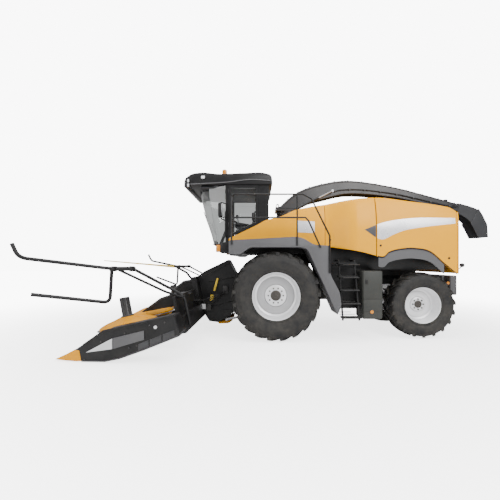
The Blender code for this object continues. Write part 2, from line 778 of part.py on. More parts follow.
def ladder():
    """Four treads between slanted stringers, stayed to the skirt."""
    foot = (1.60, 0.46)
    head = (1.24, 1.70)
    stay = (SKIRT_Y[1] + FIT, head[1])
    stringers = [
        tube(name, [(x, *foot), (x, *head), (x, *stay)], 0.02)
        for name, x in zip(("boarding_ladder", "stringer"), LADDER_X)
    ]
    treads = []
    for step in range(5):
        t = 0.05 + step * 0.225
        y = foot[0] + (head[0] - foot[0]) * t
        z = foot[1] + (head[1] - foot[1]) * t
        treads.append(block(
            "tread", (LADDER_X[0] - 0.03, LADDER_X[1] + 0.03), (y - 0.09, y + 0.09),
            (z - 0.014, z + 0.017),
        ))
    return paint(join(*stringers, *treads, solver="MANIFOLD"), DARK)


def lower_sides():
    """Dark skirts below the body, with a locker on each side and the rear weight."""
    for label, side in SIDES:
        skirt = plate(f"{label}_skirt", [
            (-1.15, 1.96), (-2.20, 1.74), (-2.20, 0.62), (-1.38, 0.62), (-1.18, 1.10),
        ], mirrored(SKIRT_Y, side))
        paint(skirt, DARK)
        across = mirrored((SKIRT_Y[1] + FIT, LOCKER_OUT), side)
        locker = block(f"{label}_locker", LOCKER_X, across, LOCKER_Z)
        edge = locker.modifiers.new("soft_edges", "BEVEL")
        edge.width = 0.025
        edge.segments = 1
        paint(locker, BOX_GREY)
    weight = block("rear_weight", (-4.37, -4.20), (-0.55, 0.55), (0.88, 1.35))
    bracket = block("weight_bracket", (-4.21, RAIL_REAR - FIT), (-0.30, 0.30), (0.95, 1.33))
    edge = weight.modifiers.new("soft_edges", "BEVEL")
    edge.width = 0.02
    edge.segments = 1
    paint(join(weight, bracket), GREY)


# Spout

def spout_top(x):
    """Upper line of the spout."""
    return follow([
        (-0.11, 3.01), (-0.56, 3.39), (-1.10, 3.60), (-1.87, 3.71), (-2.97, 3.56), (-3.82, 3.35),
        (-4.67, 3.12),
    ])(x)


def spout_low(x):
    """Lower edge of the spout's side walls."""
    return follow([
        (-0.60, 3.01), (-0.80, 3.13), (-1.20, 3.24), (-1.87, 3.38), (-2.97, 3.30), (-3.82, 3.13),
        (-4.62, 2.96),
    ])(x)


def channel(name, stations, top, low, half, parent=None):
    """Channel open below, from functions of its run for its top, its lower edges and half width."""
    def place(u, v):
        x, z = low(v) if u in (0.0, 1.0) else top(v)
        return Vector((x, half(v) * (1.0 if u < 0.5 else -1.0), z))

    def snapped(u, v):
        return place(round(3 * u) / 3.0, v)

    return skin(name, 3, stations, snapped, (0, 0, 1), SPOUT_SKIN, parent)


def spout_turret():
    """Slewing turret with the spout's hinge ears and the pin of its lift cylinder."""
    turret = rod("spout_turret", (TURRET_X, 0, 2.49), (TURRET_X, 0, 2.95), TURRET_R, sides=24)
    shapes = [
        block("turret_plate", (TURRET_X - 0.27, TURRET_X + 0.29), (-0.27, 0.27), TURRET_PLATE),
    ]
    for _, side in SIDES:
        x, z = SPOUT_PIN
        shapes.append(plate("hinge_ear", [
            (x - 0.08, 2.95), (x - 0.03, z + 0.05), (x + 0.02, z + 0.05), (x + 0.04, z), (x + 0.035, 2.95),
        ], mirrored(EAR_Y, side)))
    foot = (JACK_FOOT[0], 0.25, JACK_FOOT[1])
    shapes.append(rod("jack_pin", foot, (JACK_FOOT[0], JACK_Y - JACK_R - FIT, JACK_FOOT[1]), 0.018))
    join(turret, *shapes)
    bore = rod("ear_bore", (SPOUT_PIN[0], -0.4, SPOUT_PIN[1]), (SPOUT_PIN[0], 0.4, SPOUT_PIN[1]), 0.024)
    return paint(pivot_at(cut(turret, bore), (TURRET_X, 0.0, 2.7)), SPOUT_GREY)


def spout():
    """Long curved spout, hinged on the turret."""
    low_x = (-0.60, -4.62)
    top_x = (-0.11, -4.67)

    def top(v):
        x = top_x[0] + (top_x[1] - top_x[0]) * v ** 1.25
        return x, spout_top(x)

    def low(v):
        x = low_x[0] + (low_x[1] - low_x[0]) * v ** 1.25
        return x, spout_low(x)

    def half(v):
        return SPOUT_HALF[0] + (SPOUT_HALF[1] - SPOUT_HALF[0]) * v

    obj = channel("spout", 20, top, low, half)
    shapes = []
    for _, side in SIDES:
        start = (SPOUT_PIN[0], side * 0.06, SPOUT_PIN[1])
        end = (SPOUT_PIN[0], side * 0.236, SPOUT_PIN[1])
        shapes.append(rod("hinge_pin", start, end, 0.020))
        cheek = mirrored((0.17, 0.205), side)
        shapes.append(plate(
            "hinge_cheek", [(-0.07, 3.03), (-0.07, 3.09), (-0.22, 3.16), (-0.26, 3.05)], cheek
        ))
    x, z = JACK_HEAD
    shapes.append(rod("jack_boss", (x, 0.17, z), (x, JACK_Y - JACK_R - FIT, z), 0.018))
    return paint(pivot_at(join(obj, *shapes), (SPOUT_PIN[0], 0.0, SPOUT_PIN[1])), SPOUT_GREY)


def spout_flaps():
    """Two hinged deflector flaps that carry the spout's curve down at its end."""
    def run(points):
        path = [Vector(point) for point in points]

        def at(v):
            place = v * (len(path) - 1)
            index = min(int(place), len(path) - 2)
            return path[index].lerp(path[index + 1], place - index)

        return at

    flap = channel(
        "spout_flap", 3, run([(-4.67, 3.14), (-4.83, 3.095), (-4.99, 3.045), (-5.12, 2.99)]),
        run([(-4.60, 2.90), (-4.72, 2.84), (-4.84, 2.76), (-4.95, 2.66)]), lambda _: FLAP_HALF,
    )
    paint(pivot_at(flap, (FLAP_PIN[0], 0.0, FLAP_PIN[1])), SPOUT_GREY)
    end = channel(
        "spout_end_flap", 3, run([(-5.135, 3.0), (-5.24, 2.83), (-5.345, 2.61), (-5.365, 2.29)]),
        run([(-4.93, 2.64), (-5.00, 2.52), (-5.06, 2.40), (-5.12, 2.28)]), lambda _: END_FLAP_HALF,
    )
    paint(pivot_at(end, (END_FLAP_PIN[0], 0.0, END_FLAP_PIN[1])), SPOUT_GREY)


def cylinder(label, foot, head, ys, radius, body, start, shaft):
    """Barrel and rod between two pins, one pair at each Y, the pairs joined by their shafts."""
    foot_v = Vector((foot[0], 0.0, foot[1]))
    head_v = Vector((head[0], 0.0, head[1]))
    way = (head_v - foot_v).normalized()
    barrels = []
    rods = []
    bores = []
    for y in ys:
        across = Vector((0.0, y, 0.0))
        base = foot_v + across
        barrels.append(rod(f"{label}_barrel", base, base + way * body, radius))
        rods.append(rod(f"{label}_rod", base + way * start, head_v + across, 0.55 * radius))
        bores.append(rod(
            "barrel_bore", base + way * (start - 0.04), base + way * (body + 0.05), 0.72 * radius
        ))
    half = radius if not shaft else shaft
    for place, group in ((foot_v, barrels), (head_v, rods)):
        middle = 0.0 if shaft else ys[0]
        low = (place.x, middle - half, place.z)
        high = (place.x, middle + half, place.z)
        group.append(rod("cross_pin", low, high, PIN_R if shaft else 1.05 * radius))
    barrel = cut(join(barrels[0], *barrels[1:]), *bores)
    paint(pivot_at(barrel, foot_v + Vector((0, 0 if shaft else ys[0], 0))), DARK)
    paint(pivot_at(join(rods[0], *rods[1:]), head_v + Vector((0, 0 if shaft else ys[0], 0))), STEEL)


# Feeder and header


def header_point(x, z):
    """Place in X and Z of a point given in the leaned header frame."""
    lean = HEADER_LEAN
    return (
        HEADER_X + x * math.cos(lean) + z * math.sin(lean),
        HEADER_Z - x * math.sin(lean) + z * math.cos(lean),
    )


def feeder():
    """Feed roll housing that lifts with the header about the chopping drum's axis."""
    x, z = LIFT_PIVOT
    back = BEAM_X[0] - FIT
    housing = plate("feeder_housing", [
        (0.90, 0.62), (0.90, 1.35), (1.10, 1.73), (1.68, 1.45), header_point(back, 0.70),
        header_point(back, -0.27), (1.56, 0.24), (1.35, 0.21), (1.05, 0.38),
    ], (-FEEDER_HALF, FEEDER_HALF))
    shapes = []
    for _, side in SIDES:
        ear = mirrored((HOUSING_HALF + 0.046, FEEDER_HALF + 0.01), side)
        shapes.append(plate("feeder_ear", [
            (1.00, z + 0.22), (1.00, z - 0.22), (x, z - 0.08), (x - 0.07, z - 0.04),
            (x - 0.07, z + 0.04), (x, z + 0.08),
        ], ear))
        shapes.append(rod(
            "pivot_pin", (x, side * (HOUSING_HALF + 0.002), z),
            (x, side * (HOUSING_HALF + 0.06), z), PIN_R,
        ))
        lug = mirrored((FEEDER_HALF - 0.02, FEEDER_HALF + 0.03), side)
        hx, hz = LIFT_HEAD
        shapes.append(plate("lift_lug", [
            (hx - 0.12, hz + 0.20), (hx - 0.06, hz - 0.03), (hx - 0.02, hz - 0.06), (hx + 0.02, hz - 0.06),
            (hx + 0.06, hz - 0.03), (hx + 0.16, hz + 0.20),
        ], lug))
    join(housing, *shapes)
    bore = rod(
        "lift_bore", (LIFT_HEAD[0], -0.7, LIFT_HEAD[1]), (LIFT_HEAD[0], 0.7, LIFT_HEAD[1]),
        PIN_R + PIN_GAP,
    )
    return paint(pivot_at(cut(housing, bore), (x, 0.0, z)), DARK)


def header_frame():
    """Rear beam, back wall, rotor arms, hoods between the rotors, mast and marker rod."""
    frame = block("header_frame", BEAM_X, (-BEAM_HALF, BEAM_HALF), BEAM_Z, HEADER)
    shapes = [
        block("mount_frame", (BEAM_X[0], -1.14), (-0.75, 0.75), (0.03, 0.70), HEADER),
        block(
            "back_wall", (-1.16, -1.12), (-BEAM_HALF + 0.01, BEAM_HALF - 0.01), (0.03, 0.42), HEADER
        ),
    ]
    for index in range(4):
        y = (index - 1.5) * ROTOR_PITCH
        shapes.append(block(
            "rotor_arm", (-1.10, 0.10), (y - 0.13, y + 0.13), (-0.20, -0.07), HEADER
        ))
        shapes.append(rod("gear_hub", (0, y, -0.09), (0, y, -RUN), 0.11, HEADER))
    for y in (-ROTOR_PITCH, ROTOR_PITCH):
        shapes.append(plate("row_hood", [
            (2.83, 0.60), (2.44, 0.89), (2.20, 0.98), (1.86, 1.01), (1.82, 0.80), (2.30, 0.70),
            (2.60, 0.64),
        ], (y - 0.13, y + 0.13)))
    shapes.append(plate("centre_hood", [
        (2.62, 0.72), (2.52, 0.95), (2.24, 1.19), (1.94, 1.23), (1.83, 1.00), (1.83, 0.80),
        (2.20, 0.76), (2.50, 0.68),
    ], (-0.15, 0.15)))
    shapes.append(tube("marker_mast", [(2.00, 0, 1.15), (2.20, 0, 1.40), (2.48, 0, 1.56)], 0.03))
    shapes.append(rod("marker_rod", (2.44, 0, 1.55), (FRONT_REACH, 0, 1.71), 0.024, end_radius=0.009))
    for _, side in SIDES:
        stub = mirrored((BEAM_HALF - 0.02, DIVIDER_IN - FIT), side)
        shapes.append(block("divider_stub", (-1.20, -1.10), stub, (-0.20, 0.0), HEADER))
    return paint(join(frame, *shapes), DARK)


def rotors():
    """Four gathering rotors, each a toothed-edge disc under a dome; the outer two carry drums."""
    for index, label in enumerate(("right_outer", "right_inner", "left_inner", "left_outer")):
        profile = [
            (0.0, 0.19), (0.12, 0.19), (0.16, 0.15), (0.36, 0.115), (DOME_R, 0.045),
            (DOME_R, DISC_T), (ROTOR_R, DISC_T), (ROTOR_R, 0.0), (0.0, 0.0),
        ]
        if label.endswith("outer"):
            profile[:3] = [(0.0, 0.56), (0.09, 0.56), (0.10, 0.16)]
        obj = turned(f"{label}_rotor", profile, 20, HEADER, closed=False)
        obj.location = (0.0, (index - 1.5) * ROTOR_PITCH, 0.0)
        paint(obj, YELLOW)


def dividers():
    """Outer dividers that part the crop, narrowing to a tip close to the ground."""
    middle = (DIVIDER_IN + DIVIDER_OUT) / 2.0
    for label, side in SIDES:
        obj = plate(f"{label}_divider", [
            (3.79, 0.03), (3.43, 0.21), (2.92, 0.54), (2.07, 0.72), (1.75, 0.80), (1.64, 0.456), (2.25, 0.22),
            (2.65, 0.085), (2.90, 0.03), (3.40, 0.012),
        ], mirrored((DIVIDER_IN, DIVIDER_OUT), side))
        for vert in obj.data.vertices:
            narrow = 1.0 - 0.72 * min(max((vert.co.x - 2.80) / 1.0, 0.0), 1.0)
            vert.co.y = side * middle + (vert.co.y - side * middle) * narrow
        paint(obj, DARK)


def crop_bars():
    """Tube frames at both ends that push tall crop inwards."""
    for label, side in SIDES:
        def at(points):
            return [(x, side * y, z) for x, y, z in points]

        foot = header_point(BEAM_X[0] - 0.035, -0.12)
        rear = tube(f"{label}_crop_bar", at([
            (2.70, 2.40, 1.57), (1.72, 2.40, 1.05), (foot[0], 2.40, foot[1]),
        ]), 0.025)
        shoe = block(
            "bar_shoe", (BEAM_X[0] - 0.06, BEAM_X[0] - 2 * FIT), mirrored((2.35, 2.45), side),
            (-0.2, 0.0), HEADER,
        )
        brace = tube("bar_brace", at([
            (2.90, 2.41, 1.52), (2.05, 2.41, 1.12), (1.95, 2.41, 1.10), (1.73, 2.41, 1.02),
        ]), 0.022)
        upper = tube("upper_bar", at([
            (2.60, 2.42, 1.545), (3.05, 2.43, 1.545), (4.15, 3.20, 1.73), (4.25, 3.20, 1.95),
        ]), 0.024)
        lower = tube("lower_bar", at([
            (3.02, 2.43, 1.53), (3.05, 2.44, 0.93), (3.95, 3.20, 1.15),
        ]), 0.023)
        head = block("bar_head", (2.62, 3.06), mirrored((2.37, 2.46), side), (1.505, 1.58))
        paint(join(rear, shoe, brace, head, upper, lower), DARK)


wheels()
front_axle()
rear_axle()
knuckles()
main_frame()
engine_block()
cutterhead_housing()
cab_frame()
cab_roof()
glass()
cab_door()
driver_seat()
panels()
hood_top()
rear_panel()
fenders()
handrail()
ladder()
lower_sides()
spout_turret()
spout()
spout_flaps()
cylinder("spout_lift", JACK_FOOT, JACK_HEAD, (JACK_Y,), JACK_R, 0.62, 0.22, 0.0)
feeder()
cylinder("header_lift", LIFT_FOOT, LIFT_HEAD, (-LIFT_Y, LIFT_Y), 0.05, 0.56, 0.18, LIFT_Y + 0.04)
header_frame()
rotors()
dividers()
crop_bars()
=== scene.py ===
"""Looks of the self-propelled forage harvester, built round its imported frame."""
import json
import logging
import math
from dataclasses import dataclass
from enum import Enum
from typing import Callable, Iterable, Sequence

import bpy
from mathutils import Matrix, Vector


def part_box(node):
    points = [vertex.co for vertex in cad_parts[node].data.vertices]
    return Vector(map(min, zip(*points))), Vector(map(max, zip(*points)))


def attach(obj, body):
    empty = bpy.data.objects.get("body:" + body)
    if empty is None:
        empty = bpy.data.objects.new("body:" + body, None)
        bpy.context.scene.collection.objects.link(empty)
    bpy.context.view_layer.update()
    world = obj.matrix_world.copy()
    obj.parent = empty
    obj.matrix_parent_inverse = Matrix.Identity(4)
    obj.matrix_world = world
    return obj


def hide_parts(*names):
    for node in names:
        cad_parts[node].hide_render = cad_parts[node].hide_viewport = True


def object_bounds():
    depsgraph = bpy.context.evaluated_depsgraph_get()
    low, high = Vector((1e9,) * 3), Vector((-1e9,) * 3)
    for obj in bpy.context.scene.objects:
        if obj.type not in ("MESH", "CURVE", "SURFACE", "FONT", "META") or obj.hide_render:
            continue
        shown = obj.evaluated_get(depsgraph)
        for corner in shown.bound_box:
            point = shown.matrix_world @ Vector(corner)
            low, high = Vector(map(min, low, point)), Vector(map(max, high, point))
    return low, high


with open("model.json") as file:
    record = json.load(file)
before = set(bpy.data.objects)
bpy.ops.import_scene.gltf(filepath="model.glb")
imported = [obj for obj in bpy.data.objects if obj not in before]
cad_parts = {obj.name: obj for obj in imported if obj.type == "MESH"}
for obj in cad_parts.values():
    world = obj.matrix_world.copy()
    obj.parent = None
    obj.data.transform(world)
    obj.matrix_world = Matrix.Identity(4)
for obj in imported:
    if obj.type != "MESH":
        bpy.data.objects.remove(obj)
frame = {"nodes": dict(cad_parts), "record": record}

logging.basicConfig(level=logging.INFO, format="%(message)s")
LOG = logging.getLogger("harvester")
CAD_LOW, CAD_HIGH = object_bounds()

Colour = tuple[float, float, float]
Point = tuple[float, float, float]
SIDES: tuple[tuple[str, int], ...] = (("left", 1), ("right", -1))


def middle(node: str) -> Vector:
    """Return the middle of a CAD node's box."""
    low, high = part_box(node)
    return (low + high) / 2.0


AXLE_X: float = middle("left_front_tyre").x


def ahead(x: float) -> float:
    """Return the row place of a distance ahead of the front axle."""
    return AXLE_X + x


def at(x: float, y: float, z: float) -> Point:
    """Return the point at a distance ahead of the front axle."""
    return (ahead(x), y, z)


# ---------------------------------------------------------------- bench tools

def activate(*objs: bpy.types.Object) -> None:
    """Select only the given objects, the first of them active."""
    if bpy.context.object and bpy.context.object.mode != "OBJECT":
        bpy.ops.object.mode_set(mode="OBJECT")
    bpy.ops.object.select_all(action="DESELECT")
    for obj in objs:
        obj.select_set(True)
    bpy.context.view_layer.objects.active = objs[0]


def clear() -> None:
    """Deselect everything."""
    bpy.ops.object.select_all(action="DESELECT")


def named(name: str) -> bpy.types.Object:
    """Name the new active object and apply its place to its mesh.

    Args:
        name: The piece's name.

    Returns:
        The object.
    """
    obj = bpy.context.object
    obj.name = name
    obj.data.name = name
    activate(obj)
    bpy.ops.object.transform_apply(location=True, rotation=True, scale=True)
    return obj


def bake(obj: bpy.types.Object) -> bpy.types.Object:
    """Apply every modifier of an object."""
    activate(obj)
    for modifier in list(obj.modifiers):
        bpy.ops.object.modifier_apply(modifier=modifier.name)
    return obj


def bevel(obj: bpy.types.Object, width: float, segments: int = 2, angle: float = 35.0) -> bpy.types.Object:
    """Round an object's edges and apply it.

    Args:
        obj: The piece.
        width: Width of the rounding in metres.
        segments: Steps across it.
        angle: Least angle that is rounded, in degrees.

    Returns:
        The same object.
    """
    modifier = obj.modifiers.new("soft", "BEVEL")
    modifier.width = width
    modifier.segments = segments
    modifier.limit_method = "ANGLE"
    modifier.angle_limit = math.radians(angle)
    return bake(obj)


def smooth(obj: bpy.types.Object, angle: float = 40.0) -> bpy.types.Object:
    """Shade an object smooth up to an angle."""
    activate(obj)
    bpy.ops.object.shade_smooth_by_angle(angle=math.radians(angle))
    return obj


def block(name: str, low: Sequence[float], high: Sequence[float], soft: float = 0.006) -> bpy.types.Object:
    """Make a box with rounded edges.

    Args:
        name: The piece's name.
        low: Lowest corner.
        high: Highest corner.
        soft: Width of the rounding.

    Returns:
        The new object.
    """
    clear()
    low_v, high_v = Vector(map(min, low, high)), Vector(map(max, low, high))
    bpy.ops.mesh.primitive_cube_add(size=1.0, location=(low_v + high_v) / 2.0, scale=high_v - low_v)
    obj = named(name)
    if soft:
        bevel(obj, min(soft, 0.45 * min(high_v - low_v)), 2)
    return smooth(obj)


def bar(name: str, start: Sequence[float], end: Sequence[float], radius: float, sides: int = 24,
        end_radius: float | None = None, soft: float = 0.003) -> bpy.types.Object:
    """Make a round bar between two points.

    Args:
        name: The piece's name.
        start: First end.
        end: Second end.
        radius: Radius at the first end.
        sides: Number of facets round it.
        end_radius: Radius at the second end.
        soft: Width of the rounding at the ends.

    Returns:
        The new object.
    """
    clear()
    run = Vector(end) - Vector(start)
    turn = run.to_track_quat("Z", "Y").to_euler()
    bpy.ops.mesh.primitive_cone_add(
        vertices=sides, radius1=radius, radius2=radius if end_radius is None else end_radius,
        depth=run.length, location=(Vector(start) + Vector(end)) / 2.0, rotation=turn,
    )
    obj = named(name)
    if soft:
        bevel(obj, soft, 2, 50)
    return smooth(obj)


def lathe(name: str, profile: Sequence[tuple[float, float]], centre: Sequence[float], axis: Sequence[float],
          sides: int = 64, crease: float = 35.0) -> bpy.types.Object:
    """Turn a profile by extruding and scaling a circle along an axis.

    Args:
        name: The piece's name.
        profile: Radius and height of each step, starting and ending on the axis or at the same point.
        centre: Where height zero is.
        axis: Direction of height.
        sides: Facets round it.
        crease: Angle above which edges stay sharp.

    Returns:
        The new object.
    """
    clear()
    radius, height = profile[0]
    bpy.ops.mesh.primitive_circle_add(vertices=sides, radius=max(radius, 0.0005), location=(0, 0, height))
    obj = bpy.context.object
    bpy.ops.object.transform_apply(location=True, rotation=False, scale=False)
    bpy.ops.object.mode_set(mode="EDIT")
    bpy.ops.mesh.select_all(action="SELECT")
    here = max(radius, 0.0005)
    for next_radius, next_height in profile[1:]:
        there = max(next_radius, 0.0005)
        bpy.ops.mesh.extrude_region_move(TRANSFORM_OT_translate={"value": (0, 0, next_height - height)})
        factor = there / here
        bpy.ops.transform.resize(value=(factor, factor, 1.0), center_override=(0, 0, next_height))
        here, height = there, next_height
    bpy.ops.mesh.select_all(action="SELECT")
    bpy.ops.mesh.remove_doubles(threshold=0.0008)
    bpy.ops.mesh.select_all(action="SELECT")
    bpy.ops.mesh.normals_make_consistent(inside=False)
    bpy.ops.object.mode_set(mode="OBJECT")
    turn = Vector(axis).to_track_quat("Z", "Y").to_matrix().to_4x4()
    obj.data.transform(Matrix.Translation(Vector(centre)) @ turn)
    obj.name = name
    return smooth(obj, crease)


def slab(name: str, outline: Sequence[tuple[float, float]], y_limits: tuple[float, float],
         soft: float = 0.006) -> bpy.types.Object:
    """Make a plate from an outline ahead of the front axle and above the ground.

    Args:
        name: The piece's name.
        outline: Distance ahead of the axle and height of each corner.
        y_limits: Where the plate starts and ends across the machine.
        soft: Width of the rounding.

    Returns:
        The new object.
    """
    clear()
    low_y, high_y = min(y_limits), max(y_limits)
    bpy.ops.mesh.primitive_circle_add(vertices=len(outline), radius=1.0, fill_type="NGON")
    obj = bpy.context.object
    for vert, (x, z) in zip(obj.data.vertices, outline):
        vert.co = at(x, low_y, z)
    bpy.ops.object.mode_set(mode="EDIT")
    bpy.ops.mesh.select_all(action="SELECT")
    bpy.ops.mesh.extrude_region_move(TRANSFORM_OT_translate={"value": (0, high_y - low_y, 0)})
    bpy.ops.mesh.select_all(action="SELECT")
    bpy.ops.mesh.normals_make_consistent(inside=False)
    bpy.ops.object.mode_set(mode="OBJECT")
    obj.name = name
    if soft:
        bevel(obj, soft, 2, 25)
    return smooth(obj)


def pipe(name: str, points: Sequence[Sequence[float]], radius: float, bend: float = 0.0,
         sides: int = 4) -> bpy.types.Object:
    """Make a bent tube through points, its corners rounded if asked.

    Args:
        name: The piece's name.
        points: Places along the tube.
        radius: The tube's radius.
        bend: Radius of each rounded corner.
        sides: Bevel resolution of the curve.

    Returns:
        The new mesh object.
    """
    clear()
    route: list[Vector] = [Vector(points[0])]
    for before, corner, after in zip(points, points[1:], points[2:]):
        b, c, a = Vector(before), Vector(corner), Vector(after)
        if bend:
            into, out = (b - c), (a - c)
            cut_in, cut_out = min(bend, into.length * 0.45), min(bend, out.length * 0.45)
            first, last = c + into.normalized() * cut_in, c + out.normalized() * cut_out
            for step in range(6):
                t = step / 5.0
                route.append(first * (1 - t) ** 2 + c * (2 * t * (1 - t)) + last * t * t)
        else:
            route.append(c)
    route.append(Vector(points[-1]))
    curve = bpy.data.curves.new(name, "CURVE")
    curve.dimensions = "3D"
    curve.bevel_depth = radius
    curve.bevel_resolution = sides
    curve.use_fill_caps = True
    spline = curve.splines.new("POLY")
    spline.points.add(len(route) - 1)
    for place, where in zip(spline.points, route):
        place.co = (*where, 1.0)
    obj = bpy.data.objects.new(name, curve)
    bpy.context.scene.collection.objects.link(obj)
    activate(obj)
    bpy.ops.object.convert(target="MESH")
    obj = bpy.context.object
    obj.name = name
    bpy.ops.object.mode_set(mode="EDIT")
    bpy.ops.mesh.select_all(action="SELECT")
    bpy.ops.mesh.remove_doubles(threshold=0.00005)
    bpy.ops.mesh.normals_make_consistent(inside=False)
    bpy.ops.object.mode_set(mode="OBJECT")
    return smooth(obj, 50)


def sheet_of(name: str, place: Callable[[float, float], Sequence[float]], across: int, along: int,
             outward: Sequence[float], wall: float, soft: float = 0.0) -> bpy.types.Object:
    """Shape a grid by a rule and give it a wall.

    Args:
        name: The piece's name.
        place: Rule from two shares, 0 to 1, to a point.
        across: Cells along the first share.
        along: Cells along the second share.
        outward: Rough direction of the outer face.
        wall: Thickness, grown away from the outer face.
        soft: Width of rounding along the rim.

    Returns:
        The new object.
    """
    clear()
    bpy.ops.mesh.primitive_grid_add(x_subdivisions=across, y_subdivisions=along, size=1.0)
    obj = bpy.context.object
    for vert in obj.data.vertices:
        vert.co = place(min(max(vert.co.x + 0.5, 0.0), 1.0), min(max(vert.co.y + 0.5, 0.0), 1.0))
    obj.data.update()
    facing = sum((face.normal * face.area for face in obj.data.polygons), Vector())
    if facing.dot(Vector(outward)) < 0.0:
        obj.data.flip_normals()
    if wall:
        solid = obj.modifiers.new("wall", "SOLIDIFY")
        solid.thickness = wall
        solid.offset = -1.0
        solid.use_even_offset = True
        bake(obj)
    obj.name = name
    if soft:
        bevel(obj, soft, 2, 50)
    return smooth(obj)


def joined(name: str, parts: Sequence[bpy.types.Object]) -> bpy.types.Object:
    """Join several shapes into one piece.

    Args:
        name: The piece's name.
        parts: The shapes.

    Returns:
        The joined object.
    """
    activate(*parts)
    bpy.ops.object.join()
    obj = bpy.context.object
    obj.name = name
    obj.data.name = name
    return obj


def copies(source: bpy.types.Object, places: Iterable[Matrix]) -> list[bpy.types.Object]:
    """Copy a shape to each place, each copy with its own mesh, and remove the source.

    Args:
        source: The shape, modelled at its own origin.
        places: Where the copies go.

    Returns:
        The copies.
    """
    made = []
    for place in places:
        copy = source.copy()
        copy.data = source.data.copy()
        copy.data.transform(place)
        bpy.context.scene.collection.objects.link(copy)
        made.append(copy)
    bpy.data.objects.remove(source, do_unlink=True)
    return made


def around(centre: Sequence[float], axis: Sequence[float], count: int, phase: float = 0.0) -> list[Matrix]:
    """Return places evenly round an axis, for a shape modelled at the axis itself."""
    shift = Matrix.Translation(Vector(centre))
    turn = Vector(axis).to_track_quat("Z", "Y").to_matrix().to_4x4()
    return [
        shift @ turn @ Matrix.Rotation(phase + 2.0 * math.pi * index / count, 4,
                                       "Z") for index in range(count)
    ]


def follow(points: Sequence[tuple[float, float]]) -> Callable[[float], float]:
    """Return a smooth height rule through points, like the frame's own panels.

    Args:
        points: Distance ahead of the axle and height.

    Returns:
        The height at any distance.
    """
    run = sorted(points)
    slopes = []
    for index in range(len(run)):
        before, after = run[max(index - 1, 0)], run[min(index + 1, len(run) - 1)]
        slopes.append((after[1] - before[1]) / (after[0] - before[0]))

    def height(x: float) -> float:
        """Return the height at one distance."""
        x = min(max(x, run[0][0]), run[-1][0])
        index = 0
        while index < len(run) - 2 and x > run[index + 1][0]:
            index += 1
        (x0, z0), (x1, z1) = run[index], run[index + 1]
        span = x1 - x0
        t = (x - x0) / span
        return (
            z0 * (1 + 2 * t) * (1 - t) ** 2 + slopes[index] * span * t * (1 - t) ** 2
            + z1 * t * t * (3 - 2 * t) + slopes[index + 1] * span * t * t * (t - 1)
        )

    return height


# ------------------------------------------------------------------- finishes

def socket(tree: bpy.types.NodeTree, name: str, side: str, kind: str, value: object = None) -> None:
    """Add a named socket to a node group.

    Args:
        tree: The group.
        name: The socket's name.
        side: INPUT or OUTPUT.
        kind: The kind of socket, such as NodeSocketFloat.
        value: Its value when nothing is linked.
    """
    made = tree.interface.new_socket(name=name, in_out=side, socket_type=kind)
    if value is not None:
        made.default_value = value


def node(tree: bpy.types.NodeTree, kind: str, inputs: dict[object, object] | None = None,
         **settings: object) -> bpy.types.Node:
    """Add a node and set its inputs.

    Args:
        tree: The tree it goes in.
        kind: The node's type.
        inputs: Value or socket for each input.
        settings: Properties of the node.

    Returns:
        The node.
    """
    made = tree.nodes.new(kind)
    for key, value in settings.items():
        setattr(made, key, value)
    for key, value in (inputs or {}).items():
        if isinstance(value, bpy.types.NodeSocket):
            tree.links.new(value, made.inputs[key])
        else:
            made.inputs[key].default_value = value
    return made


def blend_colours(tree: bpy.types.NodeTree, share: object, first: object,
                  second: object) -> bpy.types.NodeSocket:
    """Mix two colours by a share and return the result."""
    return node(tree, "ShaderNodeMix", {0: share, 6: first, 7: second}, data_type="RGBA").outputs[2]


def grain_group() -> bpy.types.NodeTree:
    """Build the fine surface grain, a height and a slow mottle."""
    tree = bpy.data.node_groups.new("surface_grain", "ShaderNodeTree")
    socket(tree, "Scale", "INPUT", "NodeSocketFloat", 400.0)
    socket(tree, "Mottle Scale", "INPUT", "NodeSocketFloat", 2.5)
    socket(tree, "Height", "OUTPUT", "NodeSocketFloat")
    socket(tree, "Mottle", "OUTPUT", "NodeSocketFloat")
    start, end = node(tree, "NodeGroupInput"), node(tree, "NodeGroupOutput")
    where = node(tree, "ShaderNodeTexCoord")
    fine = node(tree, "ShaderNodeTexNoise", {
        "Vector": where.outputs["Object"], "Scale": start.outputs["Scale"], "Detail": 2.0,
        "Roughness": 0.55})
    slow = node(tree, "ShaderNodeTexNoise", {
        "Vector": where.outputs["Object"], "Scale": start.outputs["Mottle Scale"], "Detail": 5.0,
        "Roughness": 0.6})
    tree.links.new(fine.outputs["Fac"], end.inputs["Height"])
    tree.links.new(slow.outputs["Fac"], end.inputs["Mottle"])
    return tree


